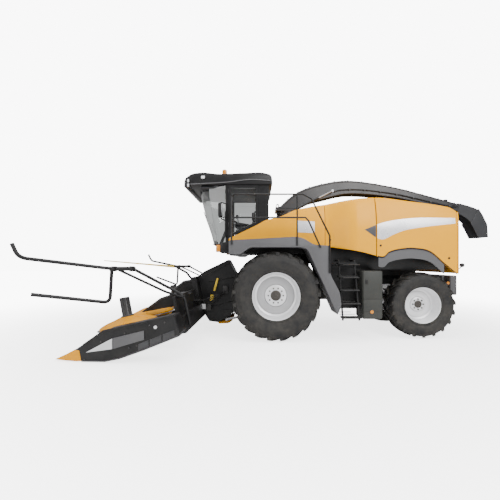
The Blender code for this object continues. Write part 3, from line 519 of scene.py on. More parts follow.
def wear_group() -> bpy.types.NodeTree:
    """Build the edge wear, a broken mask along convex edges."""
    tree = bpy.data.node_groups.new("edge_wear", "ShaderNodeTree")
    socket(tree, "Amount", "INPUT", "NodeSocketFloat", 0.5)
    socket(tree, "Mask", "OUTPUT", "NodeSocketFloat")
    start, end = node(tree, "NodeGroupInput"), node(tree, "NodeGroupOutput")
    where = node(tree, "ShaderNodeTexCoord")
    face = node(tree, "ShaderNodeNewGeometry")
    round_off = node(tree, "ShaderNodeBevel", {"Radius": 0.009}, samples=3)
    likeness = node(tree, "ShaderNodeVectorMath",
                    {0: round_off.outputs["Normal"], 1: face.outputs["Normal"]}, operation="DOT_PRODUCT")
    lift = node(tree, "ShaderNodeMapRange", {
        "Value": likeness.outputs["Value"], "From Min": 0.985, "From Max": 0.93})
    breaks = node(tree, "ShaderNodeTexNoise", {
        "Vector": where.outputs["Object"], "Scale": 28.0, "Detail": 6.0, "Roughness": 0.7})
    gaps = node(tree, "ShaderNodeMapRange",
                {"Value": breaks.outputs["Fac"], "From Min": 0.46, "From Max": 0.62})
    both = node(tree, "ShaderNodeMath", {0: lift.outputs[0], 1: gaps.outputs[0]}, operation="MULTIPLY")
    shown = node(tree, "ShaderNodeMath", {0: both.outputs[0], 1: start.outputs["Amount"]},
                 operation="MULTIPLY")
    tree.links.new(shown.outputs[0], end.inputs["Mask"])
    return tree


def dust_group() -> bpy.types.NodeTree:
    """Build the field dust, thicker low on the machine and on upward faces."""
    tree = bpy.data.node_groups.new("field_dust", "ShaderNodeTree")
    socket(tree, "Base", "INPUT", "NodeSocketColor", (0.5, 0.5, 0.5, 1.0))
    socket(tree, "Dust", "INPUT", "NodeSocketColor", (0.42, 0.36, 0.28, 1.0))
    socket(tree, "Amount", "INPUT", "NodeSocketFloat", 0.2)
    socket(tree, "Colour", "OUTPUT", "NodeSocketColor")
    socket(tree, "Mask", "OUTPUT", "NodeSocketFloat")
    start, end = node(tree, "NodeGroupInput"), node(tree, "NodeGroupOutput")
    where = node(tree, "ShaderNodeTexCoord")
    face = node(tree, "ShaderNodeNewGeometry")
    place = node(tree, "ShaderNodeSeparateXYZ", {"Vector": where.outputs["Object"]})
    up = node(tree, "ShaderNodeSeparateXYZ", {"Vector": face.outputs["Normal"]})
    low = node(tree, "ShaderNodeMapRange", {
        "Value": place.outputs["Z"], "From Min": 2.2, "From Max": 0.1, "To Min": 0.12, "To Max": 0.8})
    lying = node(tree, "ShaderNodeMapRange", {
        "Value": up.outputs["Z"], "From Min": 0.2, "From Max": 1.0, "To Min": 0.0, "To Max": 0.5})
    added = node(tree, "ShaderNodeMath", {0: low.outputs[0], 1: lying.outputs[0]}, operation="ADD")
    patches = node(tree, "ShaderNodeTexNoise", {
        "Vector": where.outputs["Object"], "Scale": 5.0, "Detail": 8.0, "Roughness": 0.65})
    broken = node(tree, "ShaderNodeMapRange",
                  {"Value": patches.outputs["Fac"], "From Min": 0.35, "From Max": 0.75})
    thick = node(tree, "ShaderNodeMath", {0: added.outputs[0], 1: broken.outputs[0]}, operation="MULTIPLY")
    mask = node(tree, "ShaderNodeMath", {0: thick.outputs[0], 1: start.outputs["Amount"]},
                operation="MULTIPLY", use_clamp=True)
    colour = blend_colours(tree, mask.outputs[0], start.outputs["Base"], start.outputs["Dust"])
    tree.links.new(colour, end.inputs["Colour"])
    tree.links.new(mask.outputs[0], end.inputs["Mask"])
    return tree


@dataclass(frozen=True)
class Finish:
    """One painted, moulded or bare surface, worn and dusted to its own degree.

    Attributes:
        name: The material's name.
        colour: Main colour.
        mottled: Colour in the darker patches.
        roughness: Roughness where it is clean.
        metallic: Metallic value.
        coat: Clear coat weight.
        grain: Scale of the fine grain.
        depth: Height of the grain in metres.
        wear: How much of the edges is worn.
        worn: Colour of a worn edge.
        dust: How dusty it is.
        glow: Light it gives, for lamps.
        gloss: Specular level, lower on blacks and dull plastics.
    """

    name: str
    colour: Colour
    mottled: Colour
    roughness: float = 0.5
    metallic: float = 0.0
    coat: float = 0.0
    grain: float = 400.0
    depth: float = 0.0004
    wear: float = 0.3
    worn: Colour = (0.45, 0.45, 0.45)
    dust: float = 0.25
    glow: float = 0.0
    gloss: float = 0.5

    def build(self, groups: dict[str, bpy.types.NodeTree]) -> bpy.types.Material:
        """Make the material.

        Args:
            groups: The shared effects by name.

        Returns:
            The material.
        """
        material = bpy.data.materials.new(self.name)
        material.use_nodes = True
        tree = material.node_tree
        shader = tree.nodes["Principled BSDF"]
        grain = node(tree, "ShaderNodeGroup", node_tree=groups["grain"])
        grain.inputs["Scale"].default_value = self.grain
        wear = node(tree, "ShaderNodeGroup", node_tree=groups["wear"])
        wear.inputs["Amount"].default_value = self.wear
        patches = node(tree, "ShaderNodeMapRange", {
            "Value": grain.outputs["Mottle"], "From Min": 0.35, "From Max": 0.68})
        paint = blend_colours(tree, patches.outputs[0], (*self.colour, 1.0), (*self.mottled, 1.0))
        scuffed = blend_colours(tree, wear.outputs["Mask"], paint, (*self.worn, 1.0))
        dust = node(tree, "ShaderNodeGroup", node_tree=groups["dust"])
        tree.links.new(scuffed, dust.inputs["Base"])
        dust.inputs["Amount"].default_value = self.dust
        tree.links.new(dust.outputs["Colour"], shader.inputs["Base Color"])
        dull = node(tree, "ShaderNodeMapRange", {
            "Value": dust.outputs["Mask"], "From Max": 0.6, "To Min": self.roughness, "To Max": 0.9})
        uneven = node(tree, "ShaderNodeMath", {0: grain.outputs["Mottle"], 1: 0.12, 2: -0.06},
                      operation="MULTIPLY_ADD")
        rough = node(tree, "ShaderNodeMath", {0: dull.outputs[0], 1: uneven.outputs[0]}, operation="ADD",
                     use_clamp=True)
        tree.links.new(rough.outputs[0], shader.inputs["Roughness"])
        shader.inputs["Metallic"].default_value = self.metallic
        shader.inputs["Coat Weight"].default_value = self.coat
        shader.inputs["Coat Roughness"].default_value = 0.12
        shader.inputs["Specular IOR Level"].default_value = self.gloss
        bump = node(tree, "ShaderNodeBump", {"Height": grain.outputs["Height"], "Strength": 0.35,
                                             "Distance": self.depth})
        tree.links.new(bump.outputs["Normal"], shader.inputs["Normal"])
        if self.glow:
            shader.inputs["Emission Color"].default_value = (*self.colour, 1.0)
            shader.inputs["Emission Strength"].default_value = self.glow
        return material


@dataclass(frozen=True)
class Glass:
    """Clear or tinted glass and lens plastic.

    Attributes:
        name: The material's name.
        colour: Tint.
        clear: Transmission weight.
        roughness: Roughness where it is clean.
    """

    name: str
    colour: Colour
    clear: float = 1.0
    roughness: float = 0.02

    def build(self, groups: dict[str, bpy.types.NodeTree]) -> bpy.types.Material:
        """Make the material with a faint film of dust.

        Args:
            groups: The shared effects by name.

        Returns:
            The material.
        """
        material = bpy.data.materials.new(self.name)
        material.use_nodes = True
        tree = material.node_tree
        shader = tree.nodes["Principled BSDF"]
        shader.inputs["Transmission Weight"].default_value = self.clear
        shader.inputs["IOR"].default_value = 1.45
        shader.inputs["Metallic"].default_value = 0.0
        dust = node(tree, "ShaderNodeGroup", node_tree=groups["dust"])
        dust.inputs["Base"].default_value = (*self.colour, 1.0)
        dust.inputs["Amount"].default_value = 0.08
        tree.links.new(dust.outputs["Colour"], shader.inputs["Base Color"])
        film = node(tree, "ShaderNodeMapRange", {
            "Value": dust.outputs["Mask"], "From Max": 0.2, "To Min": self.roughness, "To Max": 0.2})
        tree.links.new(film.outputs[0], shader.inputs["Roughness"])
        return material


@dataclass(frozen=True)
class SeatCloth:
    """Woven seat fabric with crossed threads."""

    name: str = "seat_cloth"
    colour: Colour = (0.035, 0.036, 0.040)
    thread: Colour = (0.075, 0.077, 0.085)
    pitch: float = 900.0

    def build(self, groups: dict[str, bpy.types.NodeTree]) -> bpy.types.Material:
        """Make the material.

        Args:
            groups: The shared effects by name.

        Returns:
            The material.
        """
        material = bpy.data.materials.new(self.name)
        material.use_nodes = True
        tree = material.node_tree
        shader = tree.nodes["Principled BSDF"]
        shader.inputs["Sheen Weight"].default_value = 0.4
        shader.inputs["Sheen Roughness"].default_value = 0.5
        where = node(tree, "ShaderNodeTexCoord")
        heights = []
        for direction in ("X", "Z"):
            wave = node(tree, "ShaderNodeTexWave", {
                "Vector": where.outputs["Object"], "Scale": self.pitch / 6.0, "Distortion": 0.6},
                bands_direction=direction)
            heights.append(wave.outputs["Fac"])
        weave = node(tree, "ShaderNodeMath", {0: heights[0], 1: heights[1]}, operation="MULTIPLY")
        grain = node(tree, "ShaderNodeGroup", node_tree=groups["grain"])
        colour = blend_colours(tree, weave.outputs[0], (*self.colour, 1.0), (*self.thread, 1.0))
        tree.links.new(colour, shader.inputs["Base Color"])
        rough = node(tree, "ShaderNodeMapRange",
                     {"Value": grain.outputs["Mottle"], "To Min": 0.75, "To Max": 0.95})
        tree.links.new(rough.outputs[0], shader.inputs["Roughness"])
        bump = node(tree, "ShaderNodeBump",
                    {"Height": weave.outputs[0], "Strength": 0.5, "Distance": 0.0006})
        tree.links.new(bump.outputs["Normal"], shader.inputs["Normal"])
        return material


class Slot(Enum):
    """The record's material slots and the finish each one has."""

    BODY = "body_yellow"
    ROTOR = "rotor_yellow"
    BLACK = "chassis_black"
    PLATFORM = "platform_grey"
    AXLE = "axle_grey"
    SPOUT = "spout_grey"
    LOCKER = "locker_grey"
    STEEL = "bare_steel"
    RIM = "rim_silver"
    TYRE = "tyre_rubber"
    GLASS = "cab_glass"
    SEAT = "seat_fabric"


class Shade(Enum):
    """Finishes that only small pieces have."""

    DECAL = "silver_decal"
    SMOKE = "smoke_decal"
    PLATE = "pale_plate"
    LAMP = "lamp_lens"
    AMBER = "amber_lens"
    RED = "red_lens"
    WHEEL_GREY = "wheel_centre_grey"
    HUB = "hub_brown"
    WAND = "marker_wand"
    MIRROR = "mirror_glass"
    TRIM = "cab_trim"


FINISHES: dict[Enum, Finish | Glass | SeatCloth] = {
    Slot.BODY: Finish("machine_yellow", (0.84, 0.375, 0.001), (0.81, 0.355, 0.001), 0.36, coat=0.06,
                      grain=260.0, depth=0.0003, wear=0.12, worn=(0.60, 0.34, 0.06), dust=0.02, gloss=0.15),
    Slot.ROTOR: Finish("header_yellow", (0.80, 0.345, 0.001), (0.72, 0.300, 0.001), 0.38, coat=0.05,
                       grain=240.0, wear=0.3, worn=(0.40, 0.26, 0.10), dust=0.04, gloss=0.15),
    Slot.BLACK: Finish("chassis_black_paint", (0.006, 0.006, 0.0065), (0.011, 0.011, 0.012), 0.38, wear=0.3,
                       worn=(0.10, 0.10, 0.105), dust=0.035, gloss=0.3),
    Slot.PLATFORM: Finish("moulded_grey", (0.094, 0.094, 0.099), (0.082, 0.082, 0.087), 0.5, grain=700.0,
                          depth=0.0006, wear=0.15, dust=0.06, gloss=0.35),
    Slot.AXLE: Finish("axle_paint", (0.030, 0.030, 0.032), (0.020, 0.020, 0.022), 0.5, wear=0.4, dust=0.12,
                      gloss=0.3),
    Slot.SPOUT: Finish("spout_paint", (0.040, 0.041, 0.044), (0.028, 0.029, 0.032), 0.36, coat=0.1,
                       wear=0.35, worn=(0.22, 0.22, 0.23), dust=0.05, gloss=0.35),
    Slot.LOCKER: Finish("locker_moulding", (0.040, 0.042, 0.039), (0.033, 0.035, 0.032), 0.55, grain=700.0,
                        depth=0.0004, wear=0.1, dust=0.05, gloss=0.3),
    Slot.STEEL: Finish("worked_steel", (0.42, 0.42, 0.43), (0.30, 0.30, 0.315), 0.36, metallic=0.85,
                       grain=160.0, wear=0.4, worn=(0.7, 0.7, 0.72), dust=0.10),
    Slot.RIM: Finish("rim_silver_paint", (0.84, 0.84, 0.85), (0.76, 0.76, 0.775), 0.34, metallic=0.25,
                     coat=0.3, grain=500.0, wear=0.15, dust=0.08),
    Slot.TYRE: Finish("tyre_black", (0.014, 0.014, 0.0145), (0.021, 0.0208, 0.0205), 0.66, grain=180.0,
                      depth=0.0012, wear=0.25, worn=(0.05, 0.049, 0.047), dust=0.10, gloss=0.3),
    Slot.GLASS: Glass("tinted_glass", (0.95, 0.97, 0.965)), Slot.SEAT: SeatCloth(),
    Shade.DECAL: Finish("silver_film", (0.80, 0.80, 0.82), (0.66, 0.66, 0.69), 0.26, metallic=0.45,
                        dust=0.03),
    Shade.SMOKE: Finish("smoke_film", (0.055, 0.055, 0.06), (0.04, 0.04, 0.045), 0.3, dust=0.03),
    Shade.PLATE: Finish("blank_plate", (0.72, 0.72, 0.73), (0.66, 0.66, 0.67), 0.4, dust=0.06),
    Shade.LAMP: Finish("clear_lens", (0.85, 0.86, 0.88), (0.78, 0.79, 0.81), 0.12, coat=1.0, dust=0.03,
                       glow=0.25),
    Shade.AMBER: Finish("amber_plastic", (0.72, 0.26, 0.003), (0.66, 0.22, 0.003), 0.2, coat=0.2,
                        dust=0.02),
    Shade.RED: Finish("red_plastic", (0.50, 0.012, 0.008), (0.42, 0.010, 0.007), 0.15, coat=0.6, dust=0.04),
    Shade.WHEEL_GREY: Finish("wheel_centre_paint", (0.44, 0.44, 0.45), (0.38, 0.38, 0.39), 0.42,
                             metallic=0.2, dust=0.08),
    Shade.HUB: Finish("hub_casting", (0.055, 0.048, 0.042), (0.040, 0.036, 0.032), 0.5, metallic=0.3,
                      dust=0.08),
    Shade.WAND: Finish("wand_plastic", (0.80, 0.55, 0.05), (0.74, 0.50, 0.04), 0.4, dust=0.03),
    Shade.MIRROR: Finish("silvered_glass", (0.75, 0.77, 0.80), (0.72, 0.74, 0.77), 0.06, metallic=1.0,
                         wear=0.0, dust=0.03),
    Shade.TRIM: Finish("moulded_trim", (0.035, 0.036, 0.04), (0.027, 0.028, 0.032), 0.6, grain=800.0,
                       dust=0.05, gloss=0.3),
}


class Paintshop:
    """Builds every finish once and puts them on pieces."""

    def __init__(self) -> None:
        """Build the shared effects and all finishes."""
        groups = {"grain": grain_group(), "wear": wear_group(), "dust": dust_group()}
        self.materials = {key: finish.build(groups) for key, finish in FINISHES.items()}

    def dress(self, obj: bpy.types.Object, finish: Enum) -> None:
        """Give an object one finish all over."""
        obj.data.materials.clear()
        obj.data.materials.append(self.materials[finish])

    def dress_frame(self) -> None:
        """Give every carried node its finish, softened edges and even shading."""
        slots = {item["node"]: Slot(item["material_slot"]) for item in frame["record"]["subparts"]}
        for name, obj in frame["nodes"].items():
            self.dress(obj, slots[name])
            obj.data.polygons.foreach_set("use_smooth", [True] * len(obj.data.polygons))
            weld = obj.modifiers.new("weld", "WELD")
            weld.merge_threshold = 0.00005
            soft = obj.modifiers.new("soft_edges", "BEVEL")
            soft.width = 0.004
            soft.segments = 2
            soft.limit_method = "ANGLE"
            soft.angle_limit = math.radians(28.0)
            soft.use_clamp_overlap = True
            soft.harden_normals = False
            even = obj.modifiers.new("even_normals", "WEIGHTED_NORMAL")
            even.weight = 80
            even.keep_sharp = False


SHOP = Paintshop()


def fit(obj: bpy.types.Object, body: str, finish: Enum, stands_for: Sequence[str] = ()) -> bpy.types.Object:
    """Finish a piece, hang it on its body and report it.

    Args:
        obj: The piece.
        body: The body it rides on.
        finish: Its finish.
        stands_for: The nodes it replaces.

    Returns:
        The piece.
    """
    SHOP.dress(obj, finish)
    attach(obj, body)
    if stands_for:
        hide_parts(*stands_for)
    LOG.info("piece %s on %s: %d faces", obj.name, body, len(obj.data.polygons))
    return obj


# --------------------------------------------------------------------- studio

@dataclass
class Studio:
    """Camera, floor and soft lights.

    Attributes:
        eye: Camera place ahead of the axle, to the left and above ground.
        lens: Focal length in millimetres.
        shift: Framing shift of the camera.
        floor_half: Half the floor's width.
        sky_light: Light that the sky gives.
        sky_seen: Brightness of the backdrop.
        floor_seen: Brightness of the floor under the machine.
        shade_reach: Distances over which the floor fades into the backdrop.
    """

    eye: Point = (0.38, 8.3, 1.64)
    lens: float = 23.4
    shift: tuple[float, float] = (-0.016, 0.0266)
    floor_half: float = 60.0
    sky_light: float = 0.55
    sky_seen: float = 9.0
    floor_seen: float = 2.6
    shade_reach: tuple[float, float] = (3.5, 13.0)

    def camera(self) -> None:
        """Place the camera square to the machine's left side."""
        camera = bpy.data.cameras.new("side_camera")
        camera.lens = self.lens
        camera.sensor_width = 36.0
        camera.shift_x, camera.shift_y = self.shift
        camera.clip_end = 300.0
        obj = bpy.data.objects.new("side_camera", camera)
        obj.location = at(self.eye[0], self.eye[1], self.eye[2])
        obj.rotation_euler = (math.radians(90.0), 0.0, math.radians(180.0))
        bpy.context.scene.collection.objects.link(obj)
        bpy.context.scene.camera = obj

    def floor(self) -> None:
        """Lay the pale floor."""
        clear()
        bpy.ops.mesh.primitive_plane_add(size=2.0 * self.floor_half,
                                         location=(0.0, 0.0, CAD_LOW[2] - 0.001))
        floor = named("studio_floor")
        material = bpy.data.materials.new("studio_paper")
        material.use_nodes = True
        shader = material.node_tree.nodes["Principled BSDF"]
        shader.inputs["Base Color"].default_value = (0.95, 0.95, 0.95, 1.0)
        shader.inputs["Roughness"].default_value = 0.85
        shader.inputs["Emission Color"].default_value = (1.0, 1.0, 1.0, 1.0)
        tree = material.node_tree
        spot = node(tree, "ShaderNodeTexCoord")
        away = node(tree, "ShaderNodeVectorMath", {0: spot.outputs["Object"]}, operation="LENGTH")
        fade = node(tree, "ShaderNodeMapRange", {
            "Value": away.outputs["Value"], "From Min": self.shade_reach[0],
            "From Max": self.shade_reach[1], "To Min": self.floor_seen, "To Max": self.sky_seen},
            interpolation_type="SMOOTHSTEP")
        seen = node(tree, "ShaderNodeLightPath")
        glow = node(tree, "ShaderNodeMath", {0: fade.outputs[0], 1: seen.outputs["Is Camera Ray"]},
                    operation="MULTIPLY")
        tree.links.new(glow.outputs[0], shader.inputs["Emission Strength"])
        floor.data.materials.append(material)

    def lights(self) -> None:
        """Hang a soft key, a fill and a broad overhead light, and whiten the sky."""
        for name, place, size, power in (
            ("overhead", (0.0, 1.0, 8.5), 10.0, 1000.0), ("key", (-4.5, 8.5, 6.5), 5.0, 780.0),
            ("fill", (6.5, 7.5, 4.0), 4.0, 240.0),
        ):
            light = bpy.data.lights.new(name, "AREA")
            light.size = size
            light.energy = power
            obj = bpy.data.objects.new(name, light)
            obj.location = place
            aim = Vector((0.0, 0.0, 1.4)) - Vector(place)
            obj.rotation_euler = aim.to_track_quat("-Z", "Y").to_euler()
            bpy.context.scene.collection.objects.link(obj)
        world = bpy.data.worlds.new("white_studio")
        world.use_nodes = True
        tree = world.node_tree
        sky = tree.nodes["Background"]
        sky.inputs["Color"].default_value = (1.0, 1.0, 1.0, 1.0)
        seen = node(tree, "ShaderNodeLightPath")
        power = node(tree, "ShaderNodeMapRange", {
            "Value": seen.outputs["Is Camera Ray"], "To Min": self.sky_light, "To Max": self.sky_seen})
        tree.links.new(power.outputs[0], sky.inputs["Strength"])
        bpy.context.scene.world = world

    def build(self) -> None:
        """Build the whole studio."""
        self.camera()
        self.floor()
        self.lights()


# --------------------------------------------------------------------- wheels

@dataclass
class Wheel:
    """One driven or steered wheel with a lugged tyre, its rim and its hub.

    Attributes:
        label: Start of the names of the CAD nodes, such as left_front.
        body: Body that it turns with.
        side: 1 on the left, -1 on the right.
        lugs: Lugs on each half of the tread.
        bolts: Wheel bolts.
        bolt_ring: Radius of the ring of bolts.
        plate_r: Radius of the bright centre plate.
        hub_r: Radius of the hub cap.
        disc: How far the disc's outer face stands out from the wheel's middle.
        lug_depth: Height of a lug.
        lug_width: Width of a lug across its top.
        grey_disc: Whether the disc is grey round its bright centre.
    """

    label: str
    body: str
    side: int
    lugs: int
    bolts: int
    bolt_ring: float
    plate_r: float
    hub_r: float
    disc: float
    lug_depth: float = 0.048
    lug_width: float = 0.062
    grey_disc: bool = True

    def __post_init__(self) -> None:
        """Read the wheel's place and size from the frame."""
        tyre_low, tyre_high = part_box(f"{self.label}_tyre")
        rim_low, rim_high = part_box(f"{self.label}_rim")
        self.centre = (tyre_low + tyre_high) / 2.0
        self.radius = self.centre.z - tyre_low.z
        self.half = (tyre_high.y - tyre_low.y) / 2.0
        self.rim_r = (rim_high.z - rim_low.z) / 2.0
        self.axis = Vector((0.0, self.side, 0.0))

    def crown(self, share: float) -> tuple[float, float]:
        """Return the radius and half width of the tread's outer face at a share from middle to shoulder."""
        drop = 0.030 * share ** 2 + 0.055 * max(0.0, share - 0.82) ** 1.5
        return self.radius - drop - 0.001, self.half * (0.985 * share + 0.005)

    def carcass(self) -> bpy.types.Object:
        """Turn the tyre's body with its bulged walls and bead."""
        root = self.radius - self.lug_depth
        bead = self.rim_r + 0.004
        wall = root - bead
        half = self.half
        upper = [
            (bead, 0.80 * half), (bead + 0.02, 0.875 * half), (bead + 0.035, 0.885 * half),
            (bead + 0.045, 0.865 * half), (bead + 0.22 * wall, 0.925 * half),
            (bead + 0.40 * wall, 0.975 * half), (bead + 0.55 * wall, 0.99 * half),
            (bead + 0.57 * wall, 1.0 * half - 0.002), (bead + 0.60 * wall, 1.0 * half - 0.002),
            (bead + 0.62 * wall, 0.985 * half), (bead + 0.80 * wall, 0.955 * half),
            (bead + 0.90 * wall, 0.90 * half), (root - 0.010, 0.80 * half), (root, 0.62 * half),
            (root + 0.004, 0.30 * half),
        ]
        profile = upper + [(r, -h) for r, h in reversed(upper)]
        profile.append(upper[0])
        return lathe(f"{self.label}_tread_carcass", profile, self.centre, self.axis, 96)

    def lug(self, hand: int) -> bpy.types.Object:
        """Shape one lug from the tread's middle to its shoulder, running back as it goes out.

        Args:
            hand: 1 for the outer half of the tread, -1 for the inner half.

        Returns:
            The lug, turning about Z at the origin.
        """
        def place(u: float, v: float) -> Vector:
            """Return a point of the lug's outer face."""
            reach, out = self.crown(u)
            wide = self.lug_width * (0.82 + 0.45 * u)
            swing = -(0.42 * u ** 0.9) * self.radius * 0.62
            angle = (swing + (v - 0.5) * wide) / self.radius
            return Vector((reach * math.cos(angle), reach * math.sin(angle), hand * out))

        made = sheet_of("lug", place, 7, 2, (1, 0, 0), self.lug_depth + 0.03)
        return bevel(made, 0.007, 1, 50)

    def tyre(self) -> bpy.types.Object:
        """Join carcass and lugs into the tyre."""
        parts = [self.carcass()]
        step = math.pi / self.lugs
        for hand in (1, -1):
            places = around(self.centre, self.axis, self.lugs, step if hand < 0 else 0.0)
            parts += copies(self.lug(hand), places)
        tyre = joined(f"{self.label}_lugged_tyre", parts)
        return smooth(tyre, 38)

    def build(self) -> None:
        """Build the wheel's pieces."""
        fit(self.tyre(), self.body, Slot.TYRE, (f"{self.label}_tyre",))
        half = 0.84 * self.half
        rim, well = self.rim_r, self.rim_r - 0.045
        disc = self.disc
        fit(lathe(f"{self.label}_rim_barrel", [
            (rim, half), (rim - 0.006, half - 0.004), (rim - 0.016, half - 0.020),
            (rim - 0.020, half - 0.075), (rim - 0.032, half - 0.095), (well, disc + 0.085),
            (well - 0.012, disc + 0.050), (well - 0.050, disc + 0.032), (well - 0.050, disc + 0.004),
            (well, disc - 0.02), (rim - 0.03, -half + 0.09), (rim - 0.016, -half + 0.02),
            (rim - 0.006, -half + 0.002), (rim, -half), (rim, half),
        ], self.centre, self.axis, 96), self.body, Slot.RIM, (f"{self.label}_rim",))
        middle_r = well - 0.048
        fit(lathe(f"{self.label}_wheel_disc", [
            (0.0, disc + 0.026), (self.plate_r, disc + 0.026), (self.plate_r + 0.012, disc + 0.040),
            (middle_r - 0.045, disc + 0.046), (middle_r - 0.012, disc + 0.040), (middle_r, disc + 0.022),
            (middle_r, disc - 0.004), (0.0, disc - 0.004),
        ], self.centre, self.axis, 96), self.body, Shade.WHEEL_GREY if self.grey_disc else Slot.RIM)
        plate_face = disc + 0.062
        fit(lathe(f"{self.label}_centre_plate", [
            (0.0, plate_face), (self.plate_r - 0.03, plate_face), (self.plate_r - 0.008, disc + 0.052),
            (self.plate_r - 0.004, disc + 0.02), (0.0, disc + 0.02),
        ], self.centre, self.axis, 72), self.body, Slot.RIM)
        nuts = []
        for place in around(self.centre + self.axis * plate_face, self.axis, self.bolts):
            start = place @ Vector((self.bolt_ring, 0.0, -0.004))
            nuts.append(bar("nut", start, start + self.axis * 0.026, 0.0165, 6, soft=0.002))
            nuts.append(bar("stud", start, start + self.axis * 0.040, 0.008, 8, soft=0.001))
        fit(joined(f"{self.label}_wheel_nuts", nuts), self.body, Slot.BLACK)
        fit(lathe(f"{self.label}_hub_cap", [
            (0.0, plate_face + 0.030), (0.035, plate_face + 0.030), (0.040, plate_face + 0.024),
            (0.046, plate_face + 0.018), (self.hub_r - 0.02, plate_face + 0.016),
            (self.hub_r - 0.004, plate_face + 0.008), (self.hub_r, plate_face - 0.01),
            (0.0, plate_face - 0.01),
        ], self.centre, self.axis, 40), self.body, Shade.HUB)


# ------------------------------------------------------------------- bodywork

def rounded(outline: Sequence[tuple[float, float]], radii: Sequence[float] | float, steps: int = 6
            ) -> list[tuple[float, float]]:
    """Round the corners of an outline.

    Args:
        outline: The corners.
        radii: One radius, or one for each corner.
        steps: Points on each rounded corner.

    Returns:
        The rounded outline.
    """
    count = len(outline)
    sizes = [radii] * count if isinstance(radii, (int, float)) else list(radii)
    made: list[tuple[float, float]] = []
    for index, corner in enumerate(outline):
        here = Vector(corner)
        before, after = Vector(outline[index - 1]), Vector(outline[(index + 1) % count])
        cut = min(sizes[index], 0.48 * (before - here).length, 0.48 * (after - here).length)
        if cut < 0.002:
            made.append(tuple(here))
            continue
        first, last = here + (before - here).normalized() * cut, here + (after - here).normalized() * cut
        for step in range(steps):
            t = step / (steps - 1)
            made.append(tuple(first * (1 - t) ** 2 + here * (2 * t * (1 - t)) + last * t * t))
    return made


